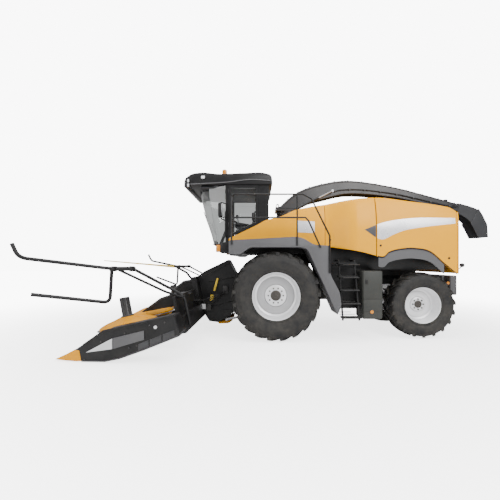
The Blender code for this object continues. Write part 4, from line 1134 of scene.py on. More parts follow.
@dataclass
class Bodywork:
    """Painted panels, their trims and decals, fenders and the tail.

    Attributes:
        skin: Wall of a panel.
        seam: Gap between two panels.
        front_seam: Where the first upright seam is, ahead of the axle.
        rear_seam: Where the second upright seam is.
        front_x: Front of the fixed panels.
        rear_x: Rear of the engine doors.
        half_front: Half width of the body ahead of its flare.
        half_rear: Half width behind it.
    """

    skin: float = 0.03
    seam: float = 0.008
    front_seam: float = -1.11
    rear_seam: float = -2.15
    front_x: float = 1.03
    rear_x: float = -3.88
    half_front: float = 1.08
    half_rear: float = 1.36

    def __post_init__(self) -> None:
        """Set the curves that the panels follow."""
        self.crest = follow([
            (1.03, 2.19), (0.41, 2.49), (0.23, 2.59), (-0.16, 2.70), (-0.48, 2.84), (-1.11, 2.96),
            (-1.44, 3.01), (-2.20, 3.07), (-2.85, 2.99), (-3.72, 2.85), (-3.90, 2.74),
        ])
        self.arch = follow([
            (-2.10, 1.80), (-2.31, 1.77), (-2.42, 1.87), (-2.70, 1.94), (-2.98, 1.95), (-3.30, 1.88),
            (-3.61, 1.62), (-3.88, 1.40),
        ])
        self.door_low = follow([(-1.10, 2.02), (-1.85, 1.88), (self.rear_seam, 1.80)])
        self.front_low = follow([(1.03, 2.12), (self.front_seam, 2.03)])

    def half(self, x: float, z: float) -> float:
        """Return the body's half width at a distance ahead of the axle and a height."""
        t = min(max((self.front_seam - x) / 0.66, 0.0), 1.0)
        flare = t * t * (3.0 - 2.0 * t)
        tuck = 0.12 * (max(0.0, z - 2.35) / 0.7) ** 2
        return self.half_front + (self.half_rear - self.half_front) * flare - tuck

    def panel(self, name: str, side: int, span: tuple[float, float], low: Callable[[float], float],
              columns: int) -> bpy.types.Object:
        """Shape one side panel between two upright seams.

        Args:
            name: The piece's name.
            side: 1 on the left, -1 on the right.
            span: Its two ends ahead of the axle.
            low: Its lower edge.
            columns: Cells along it.

        Returns:
            The panel.
        """
        def place(u: float, v: float) -> Vector:
            """Return a point of the panel's outer face."""
            x = span[0] + (span[1] - span[0]) * u
            z = low(x) + (self.crest(x) - low(x)) * v
            return Vector(at(x, side * self.half(x, z), z))

        return sheet_of(name, place, columns, 18, (0, side, 0), self.skin, 0.006)

    def film(self, name: str, side: int, span: tuple[float, float], low: Callable[[float], float],
             high: Callable[[float], float], lift: float = 0.0015, columns: int = 40) -> bpy.types.Object:
        """Shape a thin film that lies on a side panel.

        Args:
            name: The piece's name.
            side: 1 on the left, -1 on the right.
            span: Its two ends ahead of the axle.
            low: Its lower edge.
            high: Its upper edge.
            lift: How far it stands off the panel.
            columns: Cells along it.

        Returns:
            The film.
        """
        def place(u: float, v: float) -> Vector:
            """Return a point of the film's outer face."""
            x = span[0] + (span[1] - span[0]) * u
            z = low(x) + (max(high(x), low(x) + 0.001) - low(x)) * v
            return Vector(at(x, side * (self.half(x, z) + lift), z))

        return sheet_of(name, place, columns, 6, (0, side, 0), lift * 0.8)

    def sides(self) -> None:
        """Build the side panels, their decals and their fittings."""
        half_seam = self.seam / 2.0
        top = follow([(-1.90, 2.362), (-2.32, 2.52), (-2.96, 2.61), (-3.84, 2.61)])
        low = follow([(-1.90, 2.358), (-2.25, 2.15), (-2.53, 2.26), (-2.78, 2.35), (-3.28, 2.43),
                      (-3.84, 2.49)])
        for label, side in SIDES:
            fit(self.panel(f"{label}_cab_side_panel", side, (self.front_x, self.front_seam + half_seam),
                           self.front_low, 40), "chassis", Slot.BODY, (f"{label}_front_panel",))
            fit(self.panel(f"{label}_service_hatch", side,
                           (self.front_seam - half_seam, self.rear_seam + half_seam), self.door_low,
                           36), f"{label}_service_door", Slot.BODY, (f"{label}_service_door",))
            engine_front = self.rear_seam - half_seam - 0.008
            fit(self.panel(f"{label}_engine_hatch", side, (engine_front, self.rear_x), self.arch, 60),
                f"{label}_engine_door", Slot.BODY, (f"{label}_engine_door",))
            fit(self.film(f"{label}_swoosh_tip", side, (-1.90, self.rear_seam + half_seam + 0.006), low,
                          top), f"{label}_service_door", Shade.SMOKE)
            fit(self.film(f"{label}_swoosh_film", side, (engine_front - 0.006, -3.84), low, top),
                f"{label}_engine_door", Shade.DECAL)
            fit(self.film(f"{label}_side_patch", side, (-0.49, -0.88), lambda x: 2.31 + 0.05 * (x + 0.88),
                          lambda x: 2.57 + 0.05 * (x + 0.88)), "chassis", Shade.DECAL)
            fit(self.film(f"{label}_arch_seal", side, (self.rear_seam - 0.03, self.rear_x + 0.01),
                          lambda x: self.arch(x) - 0.004, lambda x: self.arch(x) + 0.018, 0.004,
                          60), f"{label}_engine_door", Slot.BLACK)
            latches = []
            for x, z in ((-1.22, 2.16), (-2.24, 2.02), (-3.70, 1.75)):
                y = side * (self.half(x, z) + 0.004)
                latches.append((x, bar(f"{label}_latch", at(x, y - side * 0.008, z),
                                       at(x, y + side * 0.006, z), 0.022, 20)))
            fit(latches[0][1], f"{label}_service_door", Slot.BLACK).name = f"{label}_service_latch"
            fit(joined(f"{label}_engine_latches", [latch for _, latch in latches[1:]]),
                f"{label}_engine_door", Slot.BLACK)
            fit(self.film(f"{label}_arch_liner", side, (-2.20, -3.60), lambda x: self.arch(x) - 0.21,
                          lambda x: self.arch(x) - 0.012, -0.045, 48), "chassis", Slot.PLATFORM)
            inner = side * 0.96
            fit(slab(f"{label}_bay_shroud", rounded([
                (-0.60, 1.99), (-1.10, 1.62), (-2.20, 1.50), (-3.84, 1.50), (-3.84, 2.10), (-2.20, 2.10),
                (-0.60, 2.10),
            ], 0.02, 3), (inner, inner - side * 0.012), 0.003), "chassis", Slot.BLACK)

    def hood(self) -> None:
        """Build the crowned hood round the turret, and its rest for the spout."""
        front_x, crown_x = 0.12, -0.6
        hole_r = 0.31

        def place(u: float, v: float) -> Vector:
            """Return a point of the hood's outer face."""
            x = front_x + (self.rear_x - front_x) * u
            edge = self.half(x, self.crest(x)) - 1.4 * self.skin - self.seam
            across = 2.0 * v - 1.0
            crown = 0.05 * min(max((crown_x - x) / 0.8, 0.0), 1.0)
            return Vector(at(x, across * edge, self.crest(x) + crown * (1.0 - across * across)))

        hood = sheet_of("crowned_hood", place, 64, 24, (0, 0, 1), 0.02, 0.004)
        clear()
        bpy.ops.mesh.primitive_cylinder_add(vertices=64, radius=hole_r, depth=1.2,
                                            location=at(-0.35, 0, 2.8))
        drill = bpy.context.object
        cut = hood.modifiers.new("turret_hole", "BOOLEAN")
        cut.operation = "DIFFERENCE"
        cut.object = drill
        bake(hood)
        bpy.data.objects.remove(drill, do_unlink=True)
        smooth(hood)
        rest_x = -2.80
        rest_low = self.crest(rest_x) + 0.03
        rest = slab("spout_saddle", [
            (rest_x - 0.06, rest_low), (rest_x + 0.06, rest_low), (rest_x + 0.03, 3.305),
            (rest_x - 0.03, 3.305),
        ], (-0.16, 0.16), 0.012)
        fit(hood, "chassis", Slot.BODY, ("hood_top",))
        fit(rest, "chassis", Slot.BLACK)
        slats = []
        for step in range(14):
            x = -3.05 - 0.045 * step
            slats.append(block("slat", (ahead(x) - 0.012, -0.62, self.crest(x) + 0.036),
                               (ahead(x) + 0.014, 0.62, self.crest(x) + 0.062), 0.004))
        fit(joined("hood_intake_slats", slats), "chassis", Slot.BLACK)

    def tail(self) -> None:
        """Build the bowed rear panel, its grille, its lamps and its two cameras."""
        def place(u: float, v: float) -> Vector:
            """Return a point of the rear panel's outer face."""
            z = 1.42 + (self.crest(self.rear_x) - 0.01 - 1.42) * v
            half = self.half(self.rear_x, z) - 0.005
            across = 2.0 * u - 1.0
            return Vector((ahead(self.rear_x - self.seam - 0.07 * (1.0 - across * across)) - 0.03,
                           across * half, z))

        fit(sheet_of("bowed_rear_panel", place, 40, 24, (-1, 0, 0), self.skin, 0.006), "chassis", Slot.BODY,
            ("rear_panel",))
        slats = []
        for step in range(16):
            z = 1.62 + 0.055 * step
            slats.append(block("slat", at(-4.00, -0.86, z), at(-3.965, 0.86, z + 0.026), 0.005))
        for y in (-0.88, 0.88):
            slats.append(block("frame", at(-4.005, y - 0.03, 1.58), at(-3.955, y + 0.03, 2.52), 0.006))
        fit(joined("cooler_grille", slats), "chassis", Slot.BLACK)
        for label, side in SIDES:
            fit(block(f"{label}_tail_lamp", at(-3.985, side * 1.02, 1.56), at(-3.93, side * 1.22, 1.72),
                      0.012), "chassis", Shade.RED)
            fit(block(f"{label}_tail_blinker", at(-3.98, side * 1.02, 1.74), at(-3.925, side * 1.22, 1.84),
                      0.012), "chassis", Shade.AMBER)
            fit(pipe(f"{label}_camera_arm", [
                at(-3.87, side * 1.22, 1.50), at(-3.99, side * 1.27, 1.53), at(-4.04, side * 1.28, 1.60),
            ], 0.011, 0.03), "chassis", Slot.BLACK)
            fit(lathe(f"{label}_rear_camera", [
                (0.0, 0.045), (0.02, 0.042), (0.038, 0.028), (0.046, 0.0), (0.04, -0.03), (0.02, -0.05),
                (0.0, -0.052),
            ], at(-4.03, side * 1.28, 1.60), (-1, 0, 0), 28), "chassis", Slot.BLACK)

    def fenders(self) -> None:
        """Build the moulded platforms over the front wheels, and their treads."""
        outline = [
            (0.98, 2.11), (-0.50, 2.19), (-0.77, 2.02), (-1.10, 2.00), (-1.10, 1.41), (-1.30, 1.04),
            (-1.33, 0.76), (-1.25, 0.58), (-1.15, 0.80), (-0.97, 1.21), (-0.84, 1.48), (-0.64, 1.93),
            (-0.515, 1.97), (0.545, 1.97), (0.75, 1.82), (0.98, 1.83),
        ]
        radii = [0.03, 0.22, 0.06, 0.02, 0.1, 0.1, 0.05, 0.02, 0.08, 0.1, 0.1, 0.06, 0.05, 0.06, 0.06, 0.02]
        for label, _ in SIDES:
            low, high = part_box(f"{label}_fender")
            fit(slab(f"{label}_moulded_fender", rounded(outline, radii, 7), (low.y, high.y), 0.014),
                "chassis", Slot.PLATFORM, (f"{label}_fender",))
            strips = []
            for step in range(6):
                y = low.y + 0.08 + step * (high.y - low.y - 0.16) / 5.0
                strips.append(bar("strip", at(0.90, y, 2.117), at(-0.36, y, 2.184), 0.006, 8, soft=0.0))
            fit(joined(f"{label}_platform_strips", strips), "chassis", Slot.BLACK)

    def build(self) -> None:
        """Build all of the bodywork."""
        self.sides()
        self.hood()
        self.tail()
        self.fenders()


# ------------------------------------------------------------------------ cab

@dataclass
class Cab:
    """Roof, visor lamps, mirrors, controls and the driver's seat.

    Attributes:
        eave: Height of the underside of the roof.
        crown: Height of the roof's top; not used.
        half: Half width of the roof.
        visor_x: Front of the visor ahead of the axle.
        lamp_rows: Places of the front work lamps across the cab.
        cover_frames: Steps of the cloth simulation on a cushion.
        cover_swell: Furthest that a cushion's cover moves out.
        cover_cell: Size of a cell of the cover.
    """

    eave: float = 3.42
    crown: float = 3.71
    half: float = 0.97
    visor_x: float = 2.05
    lamp_rows: tuple[float, ...] = (-0.80, -0.50, -0.17, 0.17, 0.50, 0.80)
    cover_frames: int = 20
    cover_swell: float = 0.016
    cover_cell: float = 0.009

    def roof(self) -> None:
        """Build the roof shell, a thin grey cap on its top that is a painted highlight, and the beacon."""
        shell = rounded([
            (0.05, self.eave), (1.94, self.eave), (1.96, 3.35), (2.05, 3.36), (2.04, 3.55), (1.88, 3.665),
            (1.62, 3.70), (1.30, 3.655), (0.80, 3.675), (0.30, 3.70), (0.07, 3.64),
        ], [0.03, 0.02, 0.01, 0.02, 0.07, 0.08, 0.2, 0.2, 0.3, 0.12, 0.08], 6)
        fit(slab("roof_shell", shell, (-self.half, self.half), 0.035), "chassis", Slot.BLACK, ("cab_roof",))
        # Painted highlight: a thin grey cap over the black roof top stands in for the light that the top
        # catches.
        fit(slab("roof_highlight_cap", rounded([
            (0.12, 3.66), (0.30, 3.706), (0.80, 3.682), (1.22, 3.668), (1.22, 3.650), (0.80, 3.655),
            (0.30, 3.670),
        ], 0.02, 4), (-0.80, 0.80), 0.006), "chassis", Slot.PLATFORM)
        fit(joined("roof_gutters", [
            pipe("gutter", [at(0.10, side * 0.985, 3.50), at(0.55, side * 0.985, 3.535),
                            at(1.10, side * 0.985, 3.46), at(1.90, side * 0.985, 3.42)], 0.013, 0.2)
            for _, side in SIDES
        ]), "chassis", Slot.PLATFORM)
        _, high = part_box("cab_roof")
        base = at(1.15, 0.80, 3.62)
        fit(lathe("beacon_foot", [
            (0.0, 0.0), (0.062, 0.0), (0.064, 0.055), (0.058, 0.068), (0.0, 0.070),
        ], base, (0, 0, 1), 32), "chassis", Slot.BLACK)
        fit(lathe("beacon_dome", [
            (0.0, 0.068), (0.054, 0.068), (0.055, 0.10), (0.054, 0.15), (0.048, 0.168), (0.036, 0.176),
            (0.0, 0.179),
        ], base, (0, 0, 1), 32), "chassis", Shade.AMBER)
        fit(bar("radio_mast", at(1.02, 0.55, 3.66), at(0.80, 0.55, high.z - 0.002), 0.005, 10), "chassis",
            Slot.BLACK)

    def lamp(self, name: str, centre: Vector, facing: Vector, width: float, height: float) -> None:
        """Build one work lamp with its housing and lens.

        Args:
            name: Start of the names of its pieces.
            centre: Middle of the lens.
            facing: Direction that it shines.
            width: Width of the lens.
            height: Height of the lens.
        """
        turn = facing.to_track_quat("X", "Z").to_matrix().to_4x4()
        place = Matrix.Translation(centre) @ turn
        lens = block(name + "_lens", (-0.012, -width / 2, -height / 2), (0.006, width / 2, height / 2),
                     0.006)
        housing = block(name + "_housing", (-0.05, -width / 2 - 0.012, -height / 2 - 0.012),
                        (-0.004, width / 2 + 0.012, height / 2 + 0.012), 0.012)
        for piece, finish in ((lens, Shade.LAMP), (housing, Slot.BLACK)):
            piece.data.transform(place)
            fit(piece, "chassis", finish)

    def lamps(self) -> None:
        """Build the row of lamps in the visor, the corner lamps and the front marker lamps."""
        ahead_down = Vector((1.0, 0.0, -0.12)).normalized()
        for index, y in enumerate(self.lamp_rows):
            for row, z in enumerate((3.405, 3.505)):
                self.lamp(f"visor_{index}_{row}", Vector((ahead(self.visor_x) - 0.004, y, z)), ahead_down,
                          0.17, 0.072)
        for label, side in SIDES:
            for row, z in enumerate((3.40, 3.50)):
                facing = Vector((0.75, side, -0.1)).normalized()
                self.lamp(f"{label}_corner_{row}", Vector(at(1.985, side * 0.955, z)), facing, 0.12, 0.07)
            self.lamp(f"{label}_side_work", Vector(at(1.62, side * 0.985, 3.58)),
                      Vector((0.2, side, 0.0)).normalized(), 0.085, 0.06)
            self.lamp(f"{label}_rear_work", Vector(at(0.062, side * 0.62, 3.56)), Vector((-1, 0, -0.1)),
                      0.14, 0.08)
            fit(block(f"{label}_front_marker", at(1.185, side * 1.14, 1.885), at(1.295, side * 1.26, 2.04),
                      0.015), "chassis", Shade.AMBER)
            fit(slab(f"{label}_marker_bracket", rounded([
                (0.93, 1.84), (1.20, 1.86), (1.20, 2.07), (1.10, 2.10), (0.93, 2.10),
            ], 0.02, 4), (side * 1.13, side * 1.27), 0.01), "chassis", Slot.BLACK)

    def glass_x(self, z: float) -> float:
        """Return how far forward the windscreen's middle stands at a height."""
        return follow([(2.09, 1.47), (2.35, 1.54), (2.85, 1.70), (3.40, 1.83)])(z)

    def mirrors(self) -> None:
        """Build the mirrors on their arms, the door handle, grab rails and the wiper."""
        for label, side in SIDES:
            fit(pipe(f"{label}_mirror_arm", [
                at(1.10, side * 0.95, 2.98), at(1.20, side * 1.16, 2.99), at(1.20, side * 1.18, 2.62),
                at(1.10, side * 0.95, 2.60),
            ], 0.012, 0.05), "chassis", Slot.BLACK)
            fit(block(f"{label}_mirror_head", at(1.165, side * 1.04, 2.645), at(1.245, side * 1.30, 2.955),
                      0.03), "chassis", Slot.BLACK)
            fit(block(f"{label}_mirror_pane", at(1.160, side * 1.06, 2.67), at(1.168, side * 1.28, 2.93),
                      0.003), "chassis", Shade.MIRROR)
            fit(pipe(f"{label}_grab_rail", [
                at(1.10, side * 0.945, 2.24), at(1.115, side * 1.00, 2.26), at(1.115, side * 1.00, 2.80),
                at(1.10, side * 0.945, 2.82),
            ], 0.013, 0.03), "chassis", Slot.BLACK)
        fit(block("door_pull", at(0.47, 0.966, 2.60), at(0.52, 0.996, 2.78), 0.012), "cab_door", Slot.BLACK)
        fit(joined("door_hinges", [
            bar("hinge", at(1.048, 0.972, z), at(1.048, 0.972, z + 0.11), 0.013, 16)
            for z in (2.45, 3.20)
        ]), "cab_door", Slot.BLACK)
        fit(pipe("screen_wiper", [
            at(self.glass_x(2.12) + 0.012, -0.05, 2.12), at(self.glass_x(2.45) + 0.012, 0.02, 2.45),
            at(self.glass_x(2.92) + 0.012, 0.20, 2.92),
        ], 0.010, 0.1), "chassis", Slot.BLACK)

    def controls(self) -> None:
        """Build the steering column and wheel, the console, the levers and the screens."""
        fit(bar("steering_column", at(1.34, 0.0, 2.09), at(1.10, 0.0, 2.72), 0.042, 24, 0.030), "chassis",
            Shade.TRIM)
        axis = (Vector(at(1.10, 0, 2.72)) - Vector(at(1.34, 0, 2.09))).normalized()
        centre = Vector(at(1.10, 0.0, 2.72)) + axis * 0.03
        clear()
        bpy.ops.mesh.primitive_torus_add(location=centre, rotation=axis.to_track_quat("Z", "Y").to_euler(),
                                         major_radius=0.19, minor_radius=0.014, major_segments=48,
                                         minor_segments=12)
        ring = smooth(named("rim_ring"))
        spokes = [ring]
        for place in around(centre, axis, 3, 0.4):
            spokes.append(bar("spoke", place @ Vector((0.02, 0, -0.012)), place @ Vector((0.185, 0, 0)),
                              0.011, 12))
        spokes.append(bar("boss", centre - axis * 0.03, centre + axis * 0.008, 0.045, 24, 0.038))
        fit(joined("steering_wheel", spokes), "chassis", Shade.TRIM)
        fit(slab("arm_console", rounded([
            (0.50, 2.50), (0.52, 2.66), (0.86, 2.72), (1.00, 2.70), (1.00, 2.60), (0.80, 2.48),
        ], 0.03, 4), (-0.46, -0.31), 0.015), "chassis", Shade.TRIM)
        fit(joined("drive_lever", [
            bar("stick", at(0.90, -0.385, 2.70), at(0.93, -0.385, 2.86), 0.012, 12),
            block("grip", at(0.90, -0.415, 2.83), at(0.97, -0.355, 2.93), 0.022),
        ]), "chassis", Slot.BLACK)
        fit(block("monitor", at(1.03, -0.62, 2.74), at(1.07, -0.38, 2.92), 0.012), "chassis", Slot.BLACK)
        fit(pipe("monitor_stalk", [at(1.08, -0.86, 2.75), at(1.06, -0.70, 2.82), at(1.05, -0.6, 2.83)],
                 0.012, 0.04), "chassis", Slot.BLACK)
        fit(joined("pedals", [block("pedal", at(1.42, y, 2.10), at(1.48, y + 0.09, 2.20),
                                    0.01) for y in (-0.22, 0.10)]), "chassis", Slot.BLACK)
        fit(block("roof_lining", at(0.20, -0.85, 3.36), at(1.70, 0.85, 3.405), 0.02), "chassis", Shade.TRIM)

    def cushion(self, name: str, low: Point, high: Point, lean: float) -> None:
        """Swell a padded block with cloth under pressure and finish it as a cushion.

        Args:
            name: The cushion's name.
            low: Lowest corner before it leans.
            high: Highest corner before it leans.
            lean: Angle that it leans back, about its lower front edge.
        """
        pad = block(name, low, high, 0.035)
        activate(pad)
        remesh = pad.modifiers.new("even_cells", "REMESH")
        remesh.mode = "VOXEL"
        remesh.voxel_size = self.cover_cell
        bake(pad)
        start = [vert.co.copy() for vert in pad.data.vertices]
        cloth = pad.modifiers.new("cover", "CLOTH")
        cloth.settings.quality = 5
        cloth.settings.use_pressure = True
        cloth.settings.uniform_pressure_force = 4.0
        cloth.settings.effector_weights.gravity = 0.0
        cloth.point_cache.frame_end = self.cover_frames
        scene = bpy.context.scene
        for step in range(self.cover_frames):
            scene.frame_set(step + 1)
        shaped = pad.evaluated_get(bpy.context.evaluated_depsgraph_get()).to_mesh()
        moved = [vert.co.copy() for vert in shaped.vertices]
        pad.modifiers.remove(cloth)
        for vert, old, new in zip(pad.data.vertices, start, moved):
            shift = new - old
            vert.co = old + shift * min(1.0, self.cover_swell / max(shift.length, 1e-6))
        scene.frame_set(1)
        turn = Matrix.Translation(Vector((high[0], 0, low[2]))) @ Matrix.Rotation(lean, 4, "Y")
        pad.data.transform(turn @ Matrix.Translation(-Vector((high[0], 0, low[2]))))
        activate(pad)
        bpy.ops.object.shade_smooth()
        fit(pad, "chassis", Slot.SEAT, ("driver_seat",) if name == "seat_cushion" else ())

    def seat(self) -> None:
        """Build the suspended seat with its swollen cushions."""
        low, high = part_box("driver_seat")
        x0, x1 = low.x, high.x
        depth = x1 - x0
        base_top = low.z + 0.28
        self.cushion("seat_cushion", (x0 + 0.16 * depth, -0.225, base_top),
                     (x1 - 0.03, 0.225, base_top + 0.12), 0.0)
        self.cushion("seat_back", (x0 + 0.13 * depth, -0.21, base_top + 0.13),
                     (x0 + 0.13 * depth + 0.11, 0.21, high.z - 0.22), -0.14)
        self.cushion("seat_headrest", (x0 + 0.03 * depth, -0.14, high.z - 0.20),
                     (x0 + 0.03 * depth + 0.09, 0.14, high.z - 0.03), -0.10)
        fit(block("seat_pan", (x0 + 0.14 * depth, -0.20, base_top - 0.06),
                  (x1 - 0.05, 0.20, base_top - 0.004), 0.02), "chassis", Shade.TRIM)
        folds = []
        for step in range(5):
            grow = 0.015 * (step % 2)
            z = low.z + 0.02 + step * 0.038
            folds.append(block("fold", (x0 + 0.22 * depth - grow, -0.16 - grow, z),
                               (x1 - 0.12 + grow, 0.16 + grow, z + 0.036), 0.014))
        fit(joined("seat_bellows", folds), "chassis", Slot.BLACK)

    def build(self) -> None:
        """Build the cab's pieces."""
        self.roof()
        self.lamps()
        self.mirrors()
        self.controls()
        self.seat()


# ---------------------------------------------------------------------- spout

@dataclass
class Spout:
    """The discharge spout's skin, flanges, bolts, lines and flap fittings.

    Attributes:
        half: Half width at the turret and at the far end.
        wall: Thickness of the sheet.
        ribs: Cross ribs along the back.
        line_r: Radius of the long control line.
    """

    half: tuple[float, float] = (0.20, 0.16)
    wall: float = 0.010
    ribs: int = 13
    line_r: float = 0.013

    def __post_init__(self) -> None:
        """Set the spout's upper and lower lines."""
        self.top = follow([
            (-0.11, 3.01), (-0.56, 3.39), (-1.10, 3.60), (-1.87, 3.71), (-2.97, 3.56), (-3.82, 3.35),
            (-4.67, 3.12),
        ])
        self.low = follow([
            (-0.60, 3.01), (-0.80, 3.13), (-1.20, 3.24), (-1.87, 3.38), (-2.97, 3.30), (-3.82, 3.13),
            (-4.62, 2.96),
        ])

    def section(self, v: float) -> tuple[Vector, Vector, float]:
        """Return the top and low points and the half width at a share along the spout."""
        top_x = -0.11 + (-4.67 + 0.11) * v ** 1.25
        low_x = -0.60 + (-4.62 + 0.60) * v ** 1.25
        half = self.half[0] + (self.half[1] - self.half[0]) * v
        return Vector(at(top_x, 0, self.top(top_x))), Vector(at(low_x, 0, self.low(low_x))), half

    def skin(self) -> None:
        """Build the channel with rounded upper corners."""
        def place(u: float, v: float) -> Vector:
            """Return a point of the spout's outer face."""
            top, low, half = self.section(v)
            hand = 1.0 if u < 0.5 else -1.0
            edge = min(u, 1.0 - u)
            if edge <= 0.30:
                spot = low.lerp(top, 0.93 * edge / 0.30)
                y = half
            elif edge <= 0.38:
                bend = (edge - 0.30) / 0.08 * math.pi / 2.0
                spot = low.lerp(top, 0.93 + 0.07 * math.sin(bend))
                y = half - 0.022 * (1.0 - math.cos(bend))
            else:
                spot = top
                y = (half - 0.022) * (0.5 - edge) / 0.12
            return Vector((spot.x, hand * y, spot.z))

        skin = sheet_of("spout_skin", place, 50, 72, (0, 0, 1), self.wall, 0.0)
        fit(smooth(skin, 50), "spout", Slot.SPOUT, ("spout",))

    def along(self, start: float, end: float, count: int, rise: float, out: float,
              side: int) -> list[Vector]:
        """Return points beside the spout at a share of its height.

        Args:
            start: First share along it.
            end: Last share along it.
            count: Number of points.
            rise: Share of the height, 0 at the lower edge.
            out: How far off the wall.
            side: 1 on the left, -1 on the right.

        Returns:
            The points.
        """
        points = []
        for step in range(count):
            top, low, half = self.section(start + (end - start) * step / (count - 1))
            spot = low.lerp(top, rise)
            points.append(Vector((spot.x, side * (half + out), spot.z)))
        return points

    def details(self) -> None:
        """Build flanges, ribs, bolts and the lines along the spout."""
        for label, side in SIDES:
            fit(pipe(f"{label}_spout_flange", self.along(0.03, 1.0, 40, 0.02, 0.004, side), 0.013), "spout",
                Slot.SPOUT)
            fit(pipe(f"{label}_spout_seam", self.along(0.06, 1.0, 40, 0.88, 0.001, side), 0.007), "spout",
                Slot.BLACK)
            fit(joined(f"{label}_spout_bolts", [
                bar("head", point - Vector((0, side * 0.006, 0)), point + Vector((0, side * reach, 0)),
                    radius, 6, soft=0.0)
                for start, count, rise, reach, radius in (
                    (0.08, 34, 0.94, 0.009, 0.012), (0.10, 26, 0.12, 0.008, 0.009))
                for point in self.along(start, 0.985, count, rise, 0.0, side)
            ]), "spout", Slot.SPOUT)
        fit(pipe("spout_control_line", self.along(0.32, 0.97, 30, 0.30, 0.030, 1), self.line_r), "spout",
            Slot.BLACK)
        fit(joined("spout_hoses", [pipe("hose", self.along(0.10, 0.96, 36, rise, 0.018, -1),
                                        0.009) for rise in (0.30, 0.40)]), "spout", Slot.BLACK)
        fit(joined("spout_line_clips", [
            block("clip", point - Vector((0.018, 0.016, 0.022)),
                  point + Vector((0.018, 0.030, 0.022)), 0.005)
            for point in self.along(0.34, 0.95, 8, 0.30, 0.016, 1)
        ]), "spout", Slot.SPOUT)
        ribs = []
        for step in range(self.ribs):
            top, _, half = self.section(0.10 + 0.88 * step / (self.ribs - 1))
            ribs.append(block("rib", top + Vector((-0.012, -half + 0.012, -0.004)),
                              top + Vector((0.012, half - 0.012, 0.014)), 0.004))
        fit(joined("spout_back_ribs", ribs), "spout", Slot.SPOUT)

    def flaps(self) -> None:
        """Build the flap hinges and the small cylinder that turns the first flap."""
        pin_x, pin_z = -4.64, 3.10
        fit(joined("flap_hinge", [
            bar("knuckle", at(pin_x, y, pin_z + 0.035), at(pin_x, y + 0.07, pin_z + 0.035), 0.016,
                16)
            for y in (-0.16, -0.035, 0.09)
        ]), "spout", Slot.STEEL)
        fit(joined("end_flap_hinge", [
            bar("knuckle", at(-5.085, y, 3.012), at(-5.085, y + 0.07, 3.012), 0.010, 16)
            for y in (-0.15, -0.035, 0.08)
        ]), "spout_flap", Slot.STEEL)
        fit(joined("flap_motor", [
            block("motor", at(-4.52, 0.165, 3.03), at(-4.36, 0.225, 3.10), 0.012),
            bar("boot", at(-4.52, 0.195, 3.065), at(-4.60, 0.195, 3.055), 0.018, 16),
        ]), "spout", Slot.BLACK)
        fit(joined("spout_camera", [
            block("case", at(-4.44, -0.04, self.top(-4.40) + 0.012),
                  at(-4.36, 0.04, self.top(-4.40) + 0.075), 0.012),
            bar("eye", at(-4.44, 0, self.top(-4.40) + 0.045), at(-4.455, 0, self.top(-4.40) + 0.043),
                0.02, 20),
        ]), "spout", Slot.BLACK)

    def build(self) -> None:
        """Build the spout's pieces."""
        self.skin()
        self.details()
        self.flaps()


# --------------------------------------------------------------------- header

